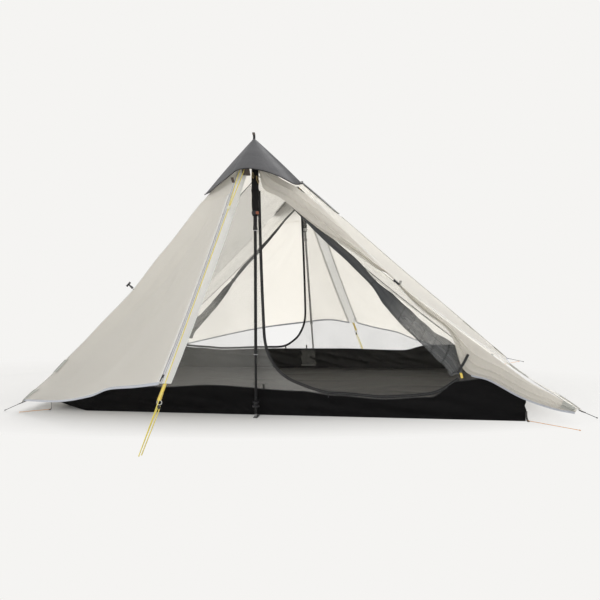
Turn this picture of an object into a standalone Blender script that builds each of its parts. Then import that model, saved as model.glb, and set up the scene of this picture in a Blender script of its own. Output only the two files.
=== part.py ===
"""A two-peak ultralight tent on two walking poles, pitched, with its sleeping tent inside.

X runs along the tent, Y from its front to its back and Z up. The origin is on the ground, at the
middle of the tub floor. The back is the front turned half a turn about Z, except for its doors.
"""

from math import cos, pi, radians, sin

import bmesh
import bpy
from mathutils import Matrix, Vector

# Tub floor of the sleeping tent
TUB_LENGTH = 2.32
TUB_WIDTH = 1.096
TUB_FLOOR = 0.004
TUB_WALL = 0.003
TUB_TOP = 0.13
TUB_END_SHARES = (0.25, 0.5, 0.75)

# How far the side walls' upper edges stand above TUB_TOP, as a share of it, by share of the
# tub's half length
FRONT_WALL_LIFT = (
    (-1.0, 0.0), (-0.7414, 0.0462), (-0.4483, 0.0), (-0.2414, 0.0923), (0.1379, -0.0846),
    (0.2931, -0.2308), (0.4741, -0.3308), (0.6552, -0.2308), (0.7586, 0.3462), (0.8707, 0.4615),
    (1.0, -0.1538),
)
BACK_WALL_LIFT = (
    (-1.0, 0.0), (-0.8276, 0.2308), (-0.6897, 0.1077), (-0.5172, 0.0), (-0.2586, 0.0538),
    (0.1983, 0.0462), (0.5603, -0.0462), (0.6983, 0.2), (0.8448, 0.2308), (1.0, 0.0),
)

# Outer tent
PEAK_HEIGHT = 1.268
PEAK_OUT = 0.037
PEAK_Y = TUB_WIDTH / 2 + PEAK_OUT
RIDGE_SAG = 0.018
FLY_CLOTH = 0.002
FLY_CLEARANCE = 0.004
HEM_CUT_IN = 0.07
HEM_RISE = 0.03
END_PANEL_BOW = 0.015

# Outer corners, as (distance along X, distance out past the line of the peaks, height)
SHORT_CORNER = (1.31, 0.0, 0.045)
LONG_CORNER = (1.375, -0.008, 0.057)
RAISED_CORNER = (1.31, 0.0, 0.065)

# How far each hip hangs below its straight line, as a share of the peak's height, by share of
# the hip's length
FRONT_LEFT_DROPS = ((0.18, 0.0016), (0.36, 0.0237), (0.5, 0.0434), (0.66, 0.0347), (0.83, 0.0237))
FRONT_RIGHT_DROPS = ((0.15, 0.0174), (0.32, 0.0552), (0.474, 0.0789), (0.617, 0.0631), (0.8, 0.041))
BACK_LEFT_DROPS = ((0.15, 0.0174), (0.32, 0.0237), (0.5, 0.0276), (0.75, 0.0158))
BACK_RIGHT_DROPS = ((0.25, 0.0), (0.5, 0.0039), (0.75, 0.0))

# Peak cap, a hood with its brow held out over the doors
CAP_RISE = 0.024
CAP_APEX = PEAK_HEIGHT + CAP_RISE
CAP_THICKNESS = 0.004
CAP_LAP = 0.05
CAP_LAP_LEFT = (0.014, CAP_LAP, 0.02)
CAP_LAP_RIGHT = (-0.012, CAP_LAP, 0.018)
CAP_LAP_STEPS = 5
CAP_RINGS = (0.33, 0.67, 1.0)
# Points of the brow, as (place along X, distance out from the peak, distance below it)
CAP_BROW = (
    (-0.247, 0.005, 0.216), (-0.205, 0.04, 0.208), (-0.157, 0.072, 0.188), (-0.102, 0.099, 0.163),
    (-0.06, 0.113, 0.14), (-0.022, 0.117, 0.132), (0.02, 0.115, 0.135), (0.076, 0.103, 0.149),
    (0.13, 0.08, 0.17), (0.168, 0.055, 0.19), (0.19, 0.03, 0.2), (0.217, 0.005, 0.196),
)
APEX_TAB_SIZE = (0.012, 0.003, 0.029)
TAB_OVERLAP = 0.0025

# Strip between the two doors. Its top is given as (place along X, distance out from the peak,
# distance below it), and its foot as (place along X, distance out from the peak, height).
STRIP_TOP = (-0.01, 0.005, -0.002)
STRIP_FOOT = (-0.2835, 0.425, 0.26)
STRIP_BOW = 0.012
STRIP_WIDTH = 0.05
STRIP_CLOTH = 0.003
ZIP_GAP = 0.0025
ZIP_INSET = 0.004
DOOR_TOP_SHARE = 0.235
HIP_TOP_SHARE = 0.2
HIP_FOOT_SHARE = 0.985
HEAD_TOP_SHARE = 0.06
HEAD_GAP = 0.008
HEAD_STEPS = 5
DOOR_BOW = 0.015
DOOR_FOLD = 0.004
DOOR_FOLDS = 2
FOLD_SLANT = 0.7

# Door hems, each from its corner to the strip's foot. Its points are given as (share of the straight
# line between the two, distance out from it, distance above it).
HEMS = {
    "front_left": ((0.3169, 0.0016, -0.0258), (0.5517, -0.0023, -0.0187), (0.6845, -0.0052, 0.0029),
                   (0.853, -0.0081, -0.0017)),
    "back_right": ((0.3169, 0.0016, -0.0398), (0.5517, -0.0023, -0.0278), (0.6845, -0.0052, -0.0035),
                   (0.853, -0.0081, -0.0047)),
    "back_left": ((0.2778, -0.0013, 0.0341), (0.5604, -0.0034, 0.0642), (0.7715, -0.005, 0.0587),
                  (0.9031, -0.0065, 0.0481)),
}

# The open door, gathered along its hip and held by a toggle. Its two edges are given as (share of
# the hip, distance below the hip).
TIED_UPPER = (
    (0.0873, 0.0486), (0.1455, 0.0199), (0.2182, -0.0002), (0.2909, -0.0126), (0.3636, -0.0002),
    (0.4109, -0.0046), (0.4509, -0.0102), (0.4945, -0.0048), (0.5527, 0.0042), (0.6255, 0.0067),
    (0.6982, 0.0101), (0.7709, 0.0155), (0.8436, 0.0127), (0.9164, 0.0086), (0.9782, 0.0057),
)
TIED_LOWER = (
    (0.0364, 0.1707), (0.0865, 0.1367), (0.1549, 0.1333), (0.2182, 0.1228), (0.32, 0.0645),
    (0.3855, 0.0366), (0.4364, 0.0261), (0.4858, 0.0351), (0.5215, 0.0857), (0.5811, 0.1331),
    (0.6327, 0.1604), (0.728, 0.1198), (0.8204, 0.102), (0.9076, 0.0678), (0.9709, 0.0292),
)
TIED_DEPTH = (0.012, 0.020, 0.026, 0.028, 0.022, 0.018, 0.012, 0.016, 0.022, 0.026, 0.022, 0.018,
              0.014, 0.010, 0.006)
TIED_OUT = 0.017
TIED_INNER_Y = -PEAK_Y - TIED_OUT
TIED_PLEATS = 3
TIED_PLEAT_DEPTH = 0.005
TIED_STATIONS = 24
TIED_POINTS = 9

# Sleeping tent
INNER_PEAK_DROP = 0.138
INNER_PEAK_HEIGHT = PEAK_HEIGHT - INNER_PEAK_DROP
WALL_Y = -(TUB_WIDTH / 2 - TUB_WALL / 2)
INNER_PEAK_INSET = 0.005
INNER_PEAK_Y = TUB_WIDTH / 2 - INNER_PEAK_INSET
INNER_RIDGE_SAG = 0.03
INNER_HIP_DROP = 0.03
MESH_CLOTH = 0.0015
MESH_GAP = 0.002
INNER_PANEL_BOW = 0.02
INNER_ZIP_WIDTH = 0.014
INNER_ZIP_THICKNESS = 0.002
# Upper part of the zip, as (place along X, share of the way from the tub's top to the inner peak)
INNER_ZIP_ARCH = (
    (0.003, 0.93), (0.0, 0.67), (0.0, 0.37), (0.006, 0.21), (0.044, 0.113), (0.098, 0.058),
    (0.166, 0.024),
)
# Where the zip's straight part starts and ends, by share of the tub's half length
INNER_ZIP_RUN = (0.2414, 0.7612)
INNER_ZIP_RISE = 0.012
INNER_WALL_END = 0.09
INNER_ARCH_TOP = 0.36
WALL_SIDE_STEPS = (5, 8)
WALL_COLUMNS = 20
# Rolled-up inner door, as (share of its hip, distance below the hip, half width)
ROLL_PATH = (
    (0.2364, 0.0024, 0.014), (0.2978, 0.0078, 0.015), (0.3721, 0.0106, 0.017),
    (0.4352, 0.0262, 0.013), (0.5173, 0.0488, 0.022), (0.5916, 0.0606, 0.031),
    (0.6642, 0.0883, 0.031), (0.729, 0.1167, 0.023), (0.7636, 0.1343, 0.012),
)
ROLL_OUT = 0.029
ROLL_HALF_DEPTH = 0.015
ROLL_STATIONS = 18
ROLL_SIDES = 12
POCKET_SIZE = (0.1, 0.014, 0.11)
POCKET_CENTRE = (0.01, 0.074)
STRAP_SIZE = (0.010, 0.002, 0.1)
STRAP_X = 0.012
STRAP_OUT = 0.008
STRAP_GAP = 0.008

# Walking poles. Their parts' heights are measured along the pole from its tip.
POLE_OUT = 0.005
POLE_BELOW_PEAK = 0.017
POLE_FOOT = (-0.043, -PEAK_Y - POLE_OUT, 0.001)
POLE_TOP = (0.004, -PEAK_Y - POLE_OUT, PEAK_HEIGHT - POLE_BELOW_PEAK)
POLE_LENGTH = POLE_TOP[2] - POLE_FOOT[2]
TIP_RADIUS = 0.003
FERRULE_RADIUS = 0.0055
FERRULE_LENGTH = 0.05
LOWER_RADIUS = 0.006
LOWER_TOP = 0.336 * POLE_LENGTH
TUBE_WALL = 0.0008
SLIDE_GAP = 0.0004
MIDDLE_START = 0.2416 * POLE_LENGTH
MIDDLE_TOP = 0.76 * POLE_LENGTH
UPPER_START = 0.7008 * POLE_LENGTH
UPPER_TOP = 0.92 * POLE_LENGTH
COLLAR_LENGTH = 0.016
COLLAR_WALL = 0.0016
GRIP_START = 0.7744 * POLE_LENGTH
GRIP_TOP = POLE_LENGTH
GRIP_RADIUS = 0.016
GRIP_BORE_DEPTH = 0.188 * POLE_LENGTH
# The grip's outline: shares of its radius, and shares of its length from its foot
GRIP_SHAPE = (
    (0.92, 0.0), (1.0, 0.11), (0.94, 0.22), (1.02, 0.284), (1.15, 0.312), (1.0, 0.348),
    (1.03, 0.468), (0.97, 0.681), (1.0, 0.823), (1.03, 0.922), (0.7, 1.0),
)
CLAMP_HEIGHT = 0.027
CLAMP_WALL = 0.0042
LEVER_WALL = 0.0034
LEVER_HEIGHT = 0.018
LEVER_NOSE = 0.006
# Where the lever lies round the clamp, in degrees. Its pin is at the outside of its end.
LEVER_START = 95.0
LEVER_END = 250.0
LEVER_STEPS = 9
BASKET_AT = 0.052
BASKET_HEIGHT = 0.024
BASKET_RADIUS = 0.017
# The basket's outline: shares of its radius and of its height
BASKET_SHAPE = ((1.0, 0.0), (1.0, 0.25), (0.47, 0.33), (0.47, 0.67), (0.85, 0.75), (0.85, 1.0))
ROUND_SIDES = 20
MIDDLE_RADIUS = LOWER_RADIUS + SLIDE_GAP + TUBE_WALL
UPPER_RADIUS = MIDDLE_RADIUS + SLIDE_GAP + TUBE_WALL
GRIP_BORE = UPPER_RADIUS + SLIDE_GAP

# Guy lines, webbing and small parts
CORD_RADIUS = 0.0012
CORNER_CORD_RADIUS = 0.0015
# The knot and the loop's shoulders, as (place along X, distance out from the peak, distance below)
KNOT_AT = (-0.079, 0.165, 0.304)
GUY_LEGS = ((-0.048, 0.087, 0.135), (-0.028, 0.087, 0.135))
# Where the line passes the strip's foot and where it ends, as (place along X, distance out, height)
GUY_PASS = (-0.279, 0.438, 0.262)
STAKE = (-0.354, 0.531, 0.006)
GUY_SHARES = (0.3, 0.6)
KNOT_RADIUS = 0.005
KNOT_LENGTH = 0.018
KNOT_TAPER = 0.7
KNOT_GAP = 0.0006
FOOT_TAB_SIZE = (0.015, 0.003)
RING_RADIUS = 0.010
RING_WIRE = 0.002
# Middle of the ring from the strip's foot: along X, out and down
RING_FROM_FOOT = (-0.019, 0.021, 0.07)
STRAND_SPREAD = 0.005
STRAND_SETBACK = 0.012
LEG_SPREAD = 0.002
LOOP_RISE = 0.008
LOOP_CLOSING = 0.12
CORD_START = 0.012
TOGGLE_LENGTH = 0.034
TOGGLE_RADIUS = 0.0045
TOGGLE_WAIST = 0.6
TOGGLE_SHARES = {"front_left": 0.485, "front_right": 0.452}
TOGGLE_DEPTHS = {"front_left": 0.004, "front_right": 0.047}
TOGGLE_REACH = {"front_left": 0.024, "front_right": 0.0}
PROP_AT = (-0.078, 0.088, 0.185)
PROP_SIZE = (0.012, 0.026, 0.003)
PROP_RISE = (0.0, -0.68, 0.73)
FOOT_STRAP_SIZE = (0.018, 0.0016)
GROMMET_RADIUS = 0.013
GROMMET_BORE = 0.0062
GROMMET_HEIGHT = 0.004
SLIDER_SIZE = (0.009, 0.005, 0.016)
FLY_SLIDER_SHARE = 0.97
INNER_SLIDER_RUN = (0.2586, 0.4741)

# How far each corner cord's end lies past its corner, along X and along Y
CORD_PULLS = {"front_left": (0.095, 0.007), "front_right": (0.087, -0.087), "back_right": (0.145, 0.19)}
INNER_CORD_PULLS = {"front_left": (0.137, 0.067), "front_right": (0.177, 0.115),
                    "back_right": (0.27, 0.242)}
CORD_END_HEIGHT = 0.006
INNER_CORD_HEIGHT = 0.005

# Fits and fineness
TOUCH = 0.0003
WELD = 0.00002
SAMPLES = 16
HIP_STEPS = 13
PANEL_STEPS = 8
DOOR_STEPS = 10
CORD_SPACING = 0.03

# Colours: red, green, blue, roughness
FLY_WHITE = (0.72, 0.70, 0.67, 0.6)
CAP_GREY = (0.115, 0.115, 0.12, 0.6)
STRIP_WHITE = (0.85, 0.85, 0.85, 0.5)
MESH_GREY = (0.12, 0.12, 0.125, 0.9)
TUB_BLACK = (0.012, 0.012, 0.013, 0.6)
WEB_BLACK = (0.02, 0.02, 0.022, 0.8)
YELLOW = (0.85, 0.66, 0.08, 0.6)
ORANGE = (0.8, 0.28, 0.08, 0.5)
POLE_BLACK = (0.02, 0.02, 0.022, 0.35)
GRIP_BLACK = (0.025, 0.024, 0.024, 0.85)
LIGHT_GREY = (0.45, 0.45, 0.45, 0.9)
TAN = (0.5, 0.4, 0.2, 0.8)


def clear_scene():
    """Remove the objects that a new file starts with."""
    for item in list(bpy.data.objects):
        bpy.data.objects.remove(item, do_unlink=True)


def material(name, colour):
    """A plain material of one colour and roughness."""
    surface = bpy.data.materials.new(name)
    surface.use_nodes = True
    shader = surface.node_tree.nodes["Principled BSDF"]
    shader.inputs["Base Color"].default_value = (*colour[:3], 1.0)
    shader.inputs["Roughness"].default_value = colour[3]
    shader.inputs["Metallic"].default_value = 0.0
    return surface


def on_side(point, side):
    """The point itself in front, or turned half a turn about Z for the back."""
    return Vector((side * point[0], side * point[1], point[2]))


def finish(name, mesh, colour, origin=(0.0, 0.0, 0.0)):
    """Turn a bmesh in world coordinates into a named object with its origin at a point."""
    bmesh.ops.recalc_face_normals(mesh, faces=mesh.faces)
    bmesh.ops.translate(mesh, vec=-Vector(origin), verts=mesh.verts)
    data = bpy.data.meshes.new(name)
    mesh.to_mesh(data)
    mesh.free()
    data.materials.append(material(name, colour))
    data.shade_smooth()
    data.set_sharp_from_angle(angle=radians(35))
    item = bpy.data.objects.new(name, data)
    item.location = origin
    bpy.context.collection.objects.link(item)
    return item


def spaced(points, count):
    """Points at even distances along a line of many points."""
    reach = [0.0]
    for before, after in zip(points, points[1:]):
        reach.append(reach[-1] + (after - before).length)
    result = []
    place = 0
    for step in range(count):
        wanted = reach[-1] * step / (count - 1)
        while place < len(points) - 2 and reach[place + 1] < wanted:
            place += 1
        span = reach[place + 1] - reach[place]
        share = (wanted - reach[place]) / span if span else 0.0
        result.append(points[place].lerp(points[place + 1], share))
    return result


def smooth(knots, count):
    """Evenly spaced points along a smooth curve through the knots."""
    knots = [Vector(knot) for knot in knots]
    ends = [2 * knots[0] - knots[1]] + knots + [2 * knots[-1] - knots[-2]]
    dense = []
    for first, second, third, fourth in zip(ends, ends[1:], ends[2:], ends[3:]):
        for step in range(SAMPLES):
            share = step / SAMPLES
            linear = (third - first) * share
            square = (2 * first - 5 * second + 4 * third - fourth) * share ** 2
            cube = (3 * second - first - 3 * third + fourth) * share ** 3
            dense.append(0.5 * (2 * second + linear + square + cube))
    dense.append(knots[-1])
    return spaced(dense, count)


def value_at(pairs, place):
    """A value read from (place, value) pairs, joined by a smooth step between neighbours."""
    if place <= pairs[0][0]:
        return pairs[0][1]
    for (start, low), (end, high) in zip(pairs, pairs[1:]):
        if place <= end:
            share = (place - start) / (end - start)
            return low + (high - low) * share * share * (3 - 2 * share)
    return pairs[-1][1]


def patch(top, bottom, left, right):
    """Rows of a surface stretched between four edges that share their corners."""
    rows = []
    for row_number, (start, end) in enumerate(zip(left, right)):
        down = row_number / (len(left) - 1)
        row = []
        for column, (high, low) in enumerate(zip(top, bottom)):
            along = column / (len(top) - 1)
            corners = top[0].lerp(top[-1], along).lerp(bottom[0].lerp(bottom[-1], along), down)
            row.append(start.lerp(end, along) + high.lerp(low, down) - corners)
        rows.append(row)
    return rows


def grid_normal(rows, row, column):
    """The direction square to a grid of points at one of them."""
    above = rows[max(row - 1, 0)][column]
    below = rows[min(row + 1, len(rows) - 1)][column]
    before = rows[row][max(column - 1, 0)]
    after = rows[row][min(column + 1, len(rows[0]) - 1)]
    return (below - above).cross(after - before).normalized()


def bowed(rows, depth, inward, folds=0.0, fold_count=0):
    """Push the middle of a grid along its normals, towards a point, with slanting folds."""
    centre = Vector(inward)
    result = []
    for row in range(len(rows)):
        down = row / (len(rows) - 1)
        line = []
        for column, point in enumerate(rows[row]):
            along = column / (len(rows[0]) - 1)
            normal = grid_normal(rows, row, column)
            if normal.dot(centre - point) < 0:
                normal = -normal
            middle = sin(pi * down) * sin(pi * along)
            wave = sin(2 * pi * fold_count * (FOLD_SLANT * down + along))
            line.append(point + normal * middle * (depth + folds * wave))
        result.append(line)
    return result


def add_sheet(mesh, grids, thickness):
    """Add one closed sheet of cloth that follows grids of points joined where they meet."""
    for rows in grids:
        layer = [[mesh.verts.new(point) for point in row] for row in rows]
        for high, low in zip(layer, layer[1:]):
            for place in range(len(high) - 1):
                mesh.faces.new((high[place], high[place + 1], low[place + 1], low[place]))
    bmesh.ops.remove_doubles(mesh, verts=mesh.verts, dist=WELD)
    bmesh.ops.recalc_face_normals(mesh, faces=mesh.faces)
    mesh.normal_update()
    shifts = [vert.normal * thickness / 2 for vert in mesh.verts]
    for vert, shift in zip(mesh.verts, shifts):
        vert.co += shift
    mesh.normal_update()
    bmesh.ops.solidify(mesh, geom=mesh.faces[:], thickness=thickness)


def sheet(name, grids, thickness, colour, origin=(0.0, 0.0, 0.0)):
    """One sheet of cloth as an object."""
    mesh = bmesh.new()
    add_sheet(mesh, grids, thickness)
    return finish(name, mesh, colour, origin)


def add_loft(mesh, sections):
    """Add a closed body through a row of closed outlines with equal counts."""
    rings = [[mesh.verts.new(point) for point in section] for section in sections]
    for ring, following in zip(rings, rings[1:]):
        for place in range(len(ring)):
            after = (place + 1) % len(ring)
            mesh.faces.new((ring[place], ring[after], following[after], following[place]))
    mesh.faces.new(rings[0])
    mesh.faces.new(rings[-1])


def add_box(mesh, centre, size, along=(1.0, 0.0, 0.0), up=(0.0, 0.0, 1.0)):
    """Add a box with its first size along one direction and its third near another."""
    first = Vector(along).normalized()
    second = Vector(up).cross(first).normalized()
    third = first.cross(second)
    corners = []
    for across in (-0.5, 0.5):
        ring = []
        for left, high in ((-0.5, -0.5), (0.5, -0.5), (0.5, 0.5), (-0.5, 0.5)):
            ring.append(Vector(centre) + first * size[0] * across + second * size[1] * left
                        + third * size[2] * high)
        corners.append(ring)
    add_loft(mesh, corners)


def box(name, centre, size, colour, along=(1.0, 0.0, 0.0), up=(0.0, 0.0, 1.0), origin=(0.0, 0.0, 0.0)):
    """One box as an object."""
    mesh = bmesh.new()
    add_box(mesh, centre, size, along, up)
    return finish(name, mesh, colour, origin)


def unite(item, other):
    """Join a second shape to an object, and leave the second one as a hidden guide."""
    union = item.modifiers.new("Union", "BOOLEAN")
    union.operation = "UNION"
    union.object = other
    other.hide_render = True
    other.display_type = "WIRE"
    return item


def add_turned(mesh, profile, frame, ring=False):
    """Add a body turned about a frame's Z from (radius, height) pairs, closed at both ends."""
    rings = []
    for radius, height in profile:
        if radius == 0.0:
            rings.append([mesh.verts.new(frame @ Vector((0.0, 0.0, height)))])
            continue
        rings.append([mesh.verts.new(frame @ Vector((radius * cos(2 * pi * side / ROUND_SIDES),
                                                     radius * sin(2 * pi * side / ROUND_SIDES),
                                                     height)))
                      for side in range(ROUND_SIDES)])
    pairs = list(zip(rings, rings[1:]))
    if ring:
        pairs.append((rings[-1], rings[0]))
    for low, high in pairs:
        for side in range(ROUND_SIDES):
            after = (side + 1) % ROUND_SIDES
            if len(low) == 1:
                mesh.faces.new((low[0], high[side], high[after]))
            elif len(high) == 1:
                mesh.faces.new((low[side], low[after], high[0]))
            else:
                mesh.faces.new((low[side], low[after], high[after], high[side]))


def turned(name, profile, frame, colour, origin, ring=False):
    """One turned body as an object."""
    mesh = bmesh.new()
    add_turned(mesh, profile, frame, ring)
    return finish(name, mesh, colour, origin)


def cord(name, route, radius, colour):
    """A round cord with capped ends along a smooth curve through its route."""
    data = bpy.data.curves.new(name, "CURVE")
    data.dimensions = "3D"
    data.bevel_depth = radius
    data.bevel_resolution = 2
    data.use_fill_caps = True
    length = sum((Vector(after) - Vector(before)).length for before, after in zip(route, route[1:]))
    points = smooth(route, max(4, int(length / CORD_SPACING)))
    spline = data.splines.new("POLY")
    spline.points.add(len(points) - 1)
    for target, point in zip(spline.points, points):
        target.co = (*point, 1.0)
    data.materials.append(material(name, colour))
    item = bpy.data.objects.new(name, data)
    bpy.context.collection.objects.link(item)
    return item


def below_peak(place):
    """The front point at a place along X, a distance out from the peak and one below it."""
    return Vector((place[0], -PEAK_Y - place[1], PEAK_HEIGHT - place[2]))


def before_peak(place):
    """The front point at a place along X, a distance out from the peak and a height."""
    return Vector((place[0], -PEAK_Y - place[1], place[2]))


def corner_point(name):
    """Where an outer corner stands, by the quarter's name."""
    along, out, height = CORNERS[name]
    sign_x = 1 if "right" in name else -1
    sign_y = 1 if "back" in name else -1
    return Vector((sign_x * along, sign_y * (PEAK_Y + out), height))


CORNERS = {
    "front_left": SHORT_CORNER,
    "front_right": LONG_CORNER,
    "back_left": LONG_CORNER,
    "back_right": RAISED_CORNER,
}
HIP_DROPS = {
    "front_left": FRONT_LEFT_DROPS,
    "front_right": FRONT_RIGHT_DROPS,
    "back_left": BACK_LEFT_DROPS,
    "back_right": BACK_RIGHT_DROPS,
}


def hip_point(name, share):
    """A point on a hip, at a share of the way from its peak to its corner."""
    corner = corner_point(name)
    peak = Vector((0.0, PEAK_Y if "back" in name else -PEAK_Y, PEAK_HEIGHT))
    drops = ((0.0, 0.0),) + HIP_DROPS[name] + ((1.0, 0.0),)
    point = peak.lerp(corner, share)
    point.z -= PEAK_HEIGHT * value_at(drops, share)
    return point


def hip_line(name, start, end, count):
    """Points along part of a hip."""
    return [hip_point(name, start + (end - start) * step / (count - 1)) for step in range(count)]


def strip_point(share):
    """A point on the middle of the front strip, from the peak to the zip's foot."""
    point = below_peak(STRIP_TOP).lerp(before_peak(STRIP_FOOT), share)
    point.x += STRIP_BOW * 4 * share * (1 - share)
    return point


def fly_panel(side_name):
    """One sloping end of the outer tent, from the ridge to its hem."""
    front = hip_line("front_" + side_name, 0.0, 1.0, HIP_STEPS)
    back = hip_line("back_" + side_name, 0.0, 1.0, HIP_STEPS)
    outward = 1 if side_name == "right" else -1
    for point in (front[0], back[0]):
        point.x += outward * FLY_CLOTH
    ridge = []
    hem = []
    for step in range(PANEL_STEPS + 1):
        share = step / PANEL_STEPS
        arch = 4 * share * (1 - share)
        high = front[0].lerp(back[0], share)
        high.z -= RIDGE_SAG * arch
        low = front[-1].lerp(back[-1], share)
        low.x -= outward * HEM_CUT_IN * arch
        low.z += HEM_RISE * arch
        ridge.append(high)
        hem.append(low)
    rows = bowed(patch(ridge, hem, front, back), END_PANEL_BOW, (0.0, 0.0, 0.0))
    return sheet("fly_panel_" + side_name, [rows], FLY_CLOTH, FLY_WHITE)


def fly_cap(side_name, side):
    """The hood over one peak: a cone from the apex to the brow and the laps behind it."""
    brow = smooth([below_peak(place) for place in CAP_BROW], 2 * HIP_STEPS)
    left = brow[0]
    right = brow[-1]
    lap_left = left + Vector(CAP_LAP_LEFT)
    lap_right = right + Vector(CAP_LAP_RIGHT)
    top_back = Vector((0.0, -PEAK_Y + CAP_LAP, PEAK_HEIGHT + 2 * FLY_CLEARANCE))
    shares = shares_between(0.0, 1.0, CAP_LAP_STEPS + 1)
    behind = [lap_right.lerp(top_back, share) for share in shares]
    behind += [top_back.lerp(lap_left, share) for share in shares[1:]]
    rim = brow + behind
    apex = Vector((0.0, -PEAK_Y, CAP_APEX))
    mesh = bmesh.new()
    layers = []
    for lower in (0.0, CAP_THICKNESS):
        drop = Vector((0.0, 0.0, lower))
        tip = mesh.verts.new(on_side(apex - drop, side))
        rings = []
        for share in CAP_RINGS:
            rings.append([mesh.verts.new(on_side(apex.lerp(point, share) - drop, side))
                          for point in rim])
        layers.append((tip, rings))
    count = len(rim)
    for tip, rings in layers:
        for place in range(count):
            after = (place + 1) % count
            mesh.faces.new((tip, rings[0][place], rings[0][after]))
            for inner, outer in zip(rings, rings[1:]):
                mesh.faces.new((inner[place], outer[place], outer[after], inner[after]))
    for place in range(count):
        after = (place + 1) % count
        mesh.faces.new((layers[0][1][-1][place], layers[1][1][-1][place],
                        layers[1][1][-1][after], layers[0][1][-1][after]))
    cap = finish("fly_cap_" + side_name, mesh, CAP_GREY)
    centre = on_side((0.0, -PEAK_Y, CAP_APEX + APEX_TAB_SIZE[2] / 2 - TAB_OVERLAP), side)
    return unite(cap, box("guide_tab_" + side_name, centre, APEX_TAB_SIZE, WEB_BLACK))


def shares_between(start, end, count):
    """Evenly spaced numbers from one value to another."""
    return [start + (end - start) * step / (count - 1) for step in range(count)]


def strip_edge(side, offset, start, end, count):
    """Points down the strip at an offset from its middle."""
    return [on_side(strip_point(share) + Vector((offset, 0.0, 0.0)), side)
            for share in shares_between(start, end, count)]


def head_grid(hip_name, side, offset):
    """The sewn part of a closed door above its opening, hidden under the cap."""
    hip = hip_line(hip_name, HEAD_TOP_SHARE, HIP_TOP_SHARE - HEAD_GAP, HEAD_STEPS)
    outward = Vector((0.0, -side * FLY_CLEARANCE, -FLY_CLEARANCE / 2))
    edge = strip_edge(side, offset, HEAD_TOP_SHARE, DOOR_TOP_SHARE - HEAD_GAP, HEAD_STEPS)
    rows = []
    for start, end in zip(hip, edge):
        rows.append([(start + outward).lerp(end, share) for share in shares_between(0.0, 1.0, 5)])
    return rows


def strip(side_name, side):
    """The band between the two doors of one side, with the sewn heads of its closed doors."""
    half = STRIP_WIDTH / 2
    edges = []
    for offset in (-half, 0.0, half):
        head = strip_edge(side, offset, HEAD_TOP_SHARE, DOOR_TOP_SHARE - HEAD_GAP, HEAD_STEPS)
        tail = strip_edge(side, offset, DOOR_TOP_SHARE - HEAD_GAP, 1.0, 2 * HIP_STEPS)
        edges.append(head + tail[1:])
    grids = [[list(row) for row in zip(*edges)]]
    if side > 0:
        grids.append(head_grid("front_left", side, -half))
    else:
        grids.append(head_grid("back_right", side, -half))
        grids.append(head_grid("back_left", side, half))
    return sheet("fly_strip_" + side_name, grids, STRIP_CLOTH, STRIP_WHITE)


def door_rows(hip_name, side, offset):
    """The grid of one closed door between its hip, the strip and its hem."""
    hip = hip_line(hip_name, HIP_TOP_SHARE, HIP_FOOT_SHARE, HIP_STEPS)
    outward = Vector((0.0, -side * FLY_CLEARANCE, -FLY_CLEARANCE / 2))
    hip = [point + outward for point in hip]
    free = strip_edge(side, offset, DOOR_TOP_SHARE, 1.0, HIP_STEPS)
    top = [hip[0].lerp(free[0], step / DOOR_STEPS) for step in range(DOOR_STEPS + 1)]
    knots = [hip[-1].lerp(free[-1], share) + Vector((0.0, -side * out, rise))
             for share, out, rise in HEMS[hip_name]]
    hem = smooth([hip[-1]] + knots + [free[-1]], DOOR_STEPS + 1)
    rows = patch(top, hem, hip, free)
    return bowed(rows, DOOR_BOW, (0.0, 0.0, 0.0), DOOR_FOLD, DOOR_FOLDS)


def hinge_line(hip_name, side):
    """The two ends of the line that a door swings about, just outside its hip."""
    start = hip_point(hip_name, HIP_TOP_SHARE)
    end = hip_point(hip_name, HIP_FOOT_SHARE)
    outward = Vector((0.0, -side * FLY_CLEARANCE, FLY_CLOTH))
    return start + outward, end + outward


def doors():
    """The three closed doors, each with its origin on its hinge line."""
    beside = STRIP_WIDTH / 2 + ZIP_GAP
    for name, side, offset in (("front_left", 1, -beside), ("back_right", -1, -beside),
                               ("back_left", -1, beside)):
        rows = door_rows(name, side, offset)
        origin = hinge_line(name, side)[0]
        sheet("fly_door_" + name, [rows], FLY_CLOTH, FLY_WHITE, origin)


def tied_edge(places):
    """One edge of the open door, at no depth, from (share of its hip, distance below it) pairs."""
    points = []
    for share, below in places:
        on_hip = hip_point("front_right", share)
        points.append(Vector((on_hip.x, 0.0, on_hip.z - below)))
    return smooth(points, TIED_STATIONS)


def tied_door():
    """The open front door, gathered in pleats along its hip on both sides of its toggle."""
    upper = tied_edge(TIED_UPPER)
    lower = tied_edge(TIED_LOWER)
    depths = list(enumerate(TIED_DEPTH))
    sections = []
    for number, (high, low) in enumerate(zip(upper, lower)):
        depth = value_at(depths, number * (len(depths) - 1) / (TIED_STATIONS - 1))
        outer = []
        inner = []
        for share in shares_between(0.0, 1.0, TIED_POINTS):
            swell = sin(pi * share)
            fold = TIED_PLEAT_DEPTH * sin(pi * TIED_PLEATS * 2 * share) * swell
            place = high.lerp(low, share)
            outer.append(Vector((place.x, TIED_INNER_Y - FLY_CLOTH - depth * swell - fold, place.z)))
            inner.append(Vector((place.x, TIED_INNER_Y, place.z)))
        sections.append(outer + inner[::-1])
    mesh = bmesh.new()
    add_loft(mesh, sections)
    return finish("fly_door_front_right", mesh, FLY_WHITE)


def wall_top(lifts, x):
    """The height of a tub wall's upper edge at a place along X."""
    return TUB_TOP * (1 + value_at(lifts, x / (TUB_LENGTH / 2)))


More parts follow.
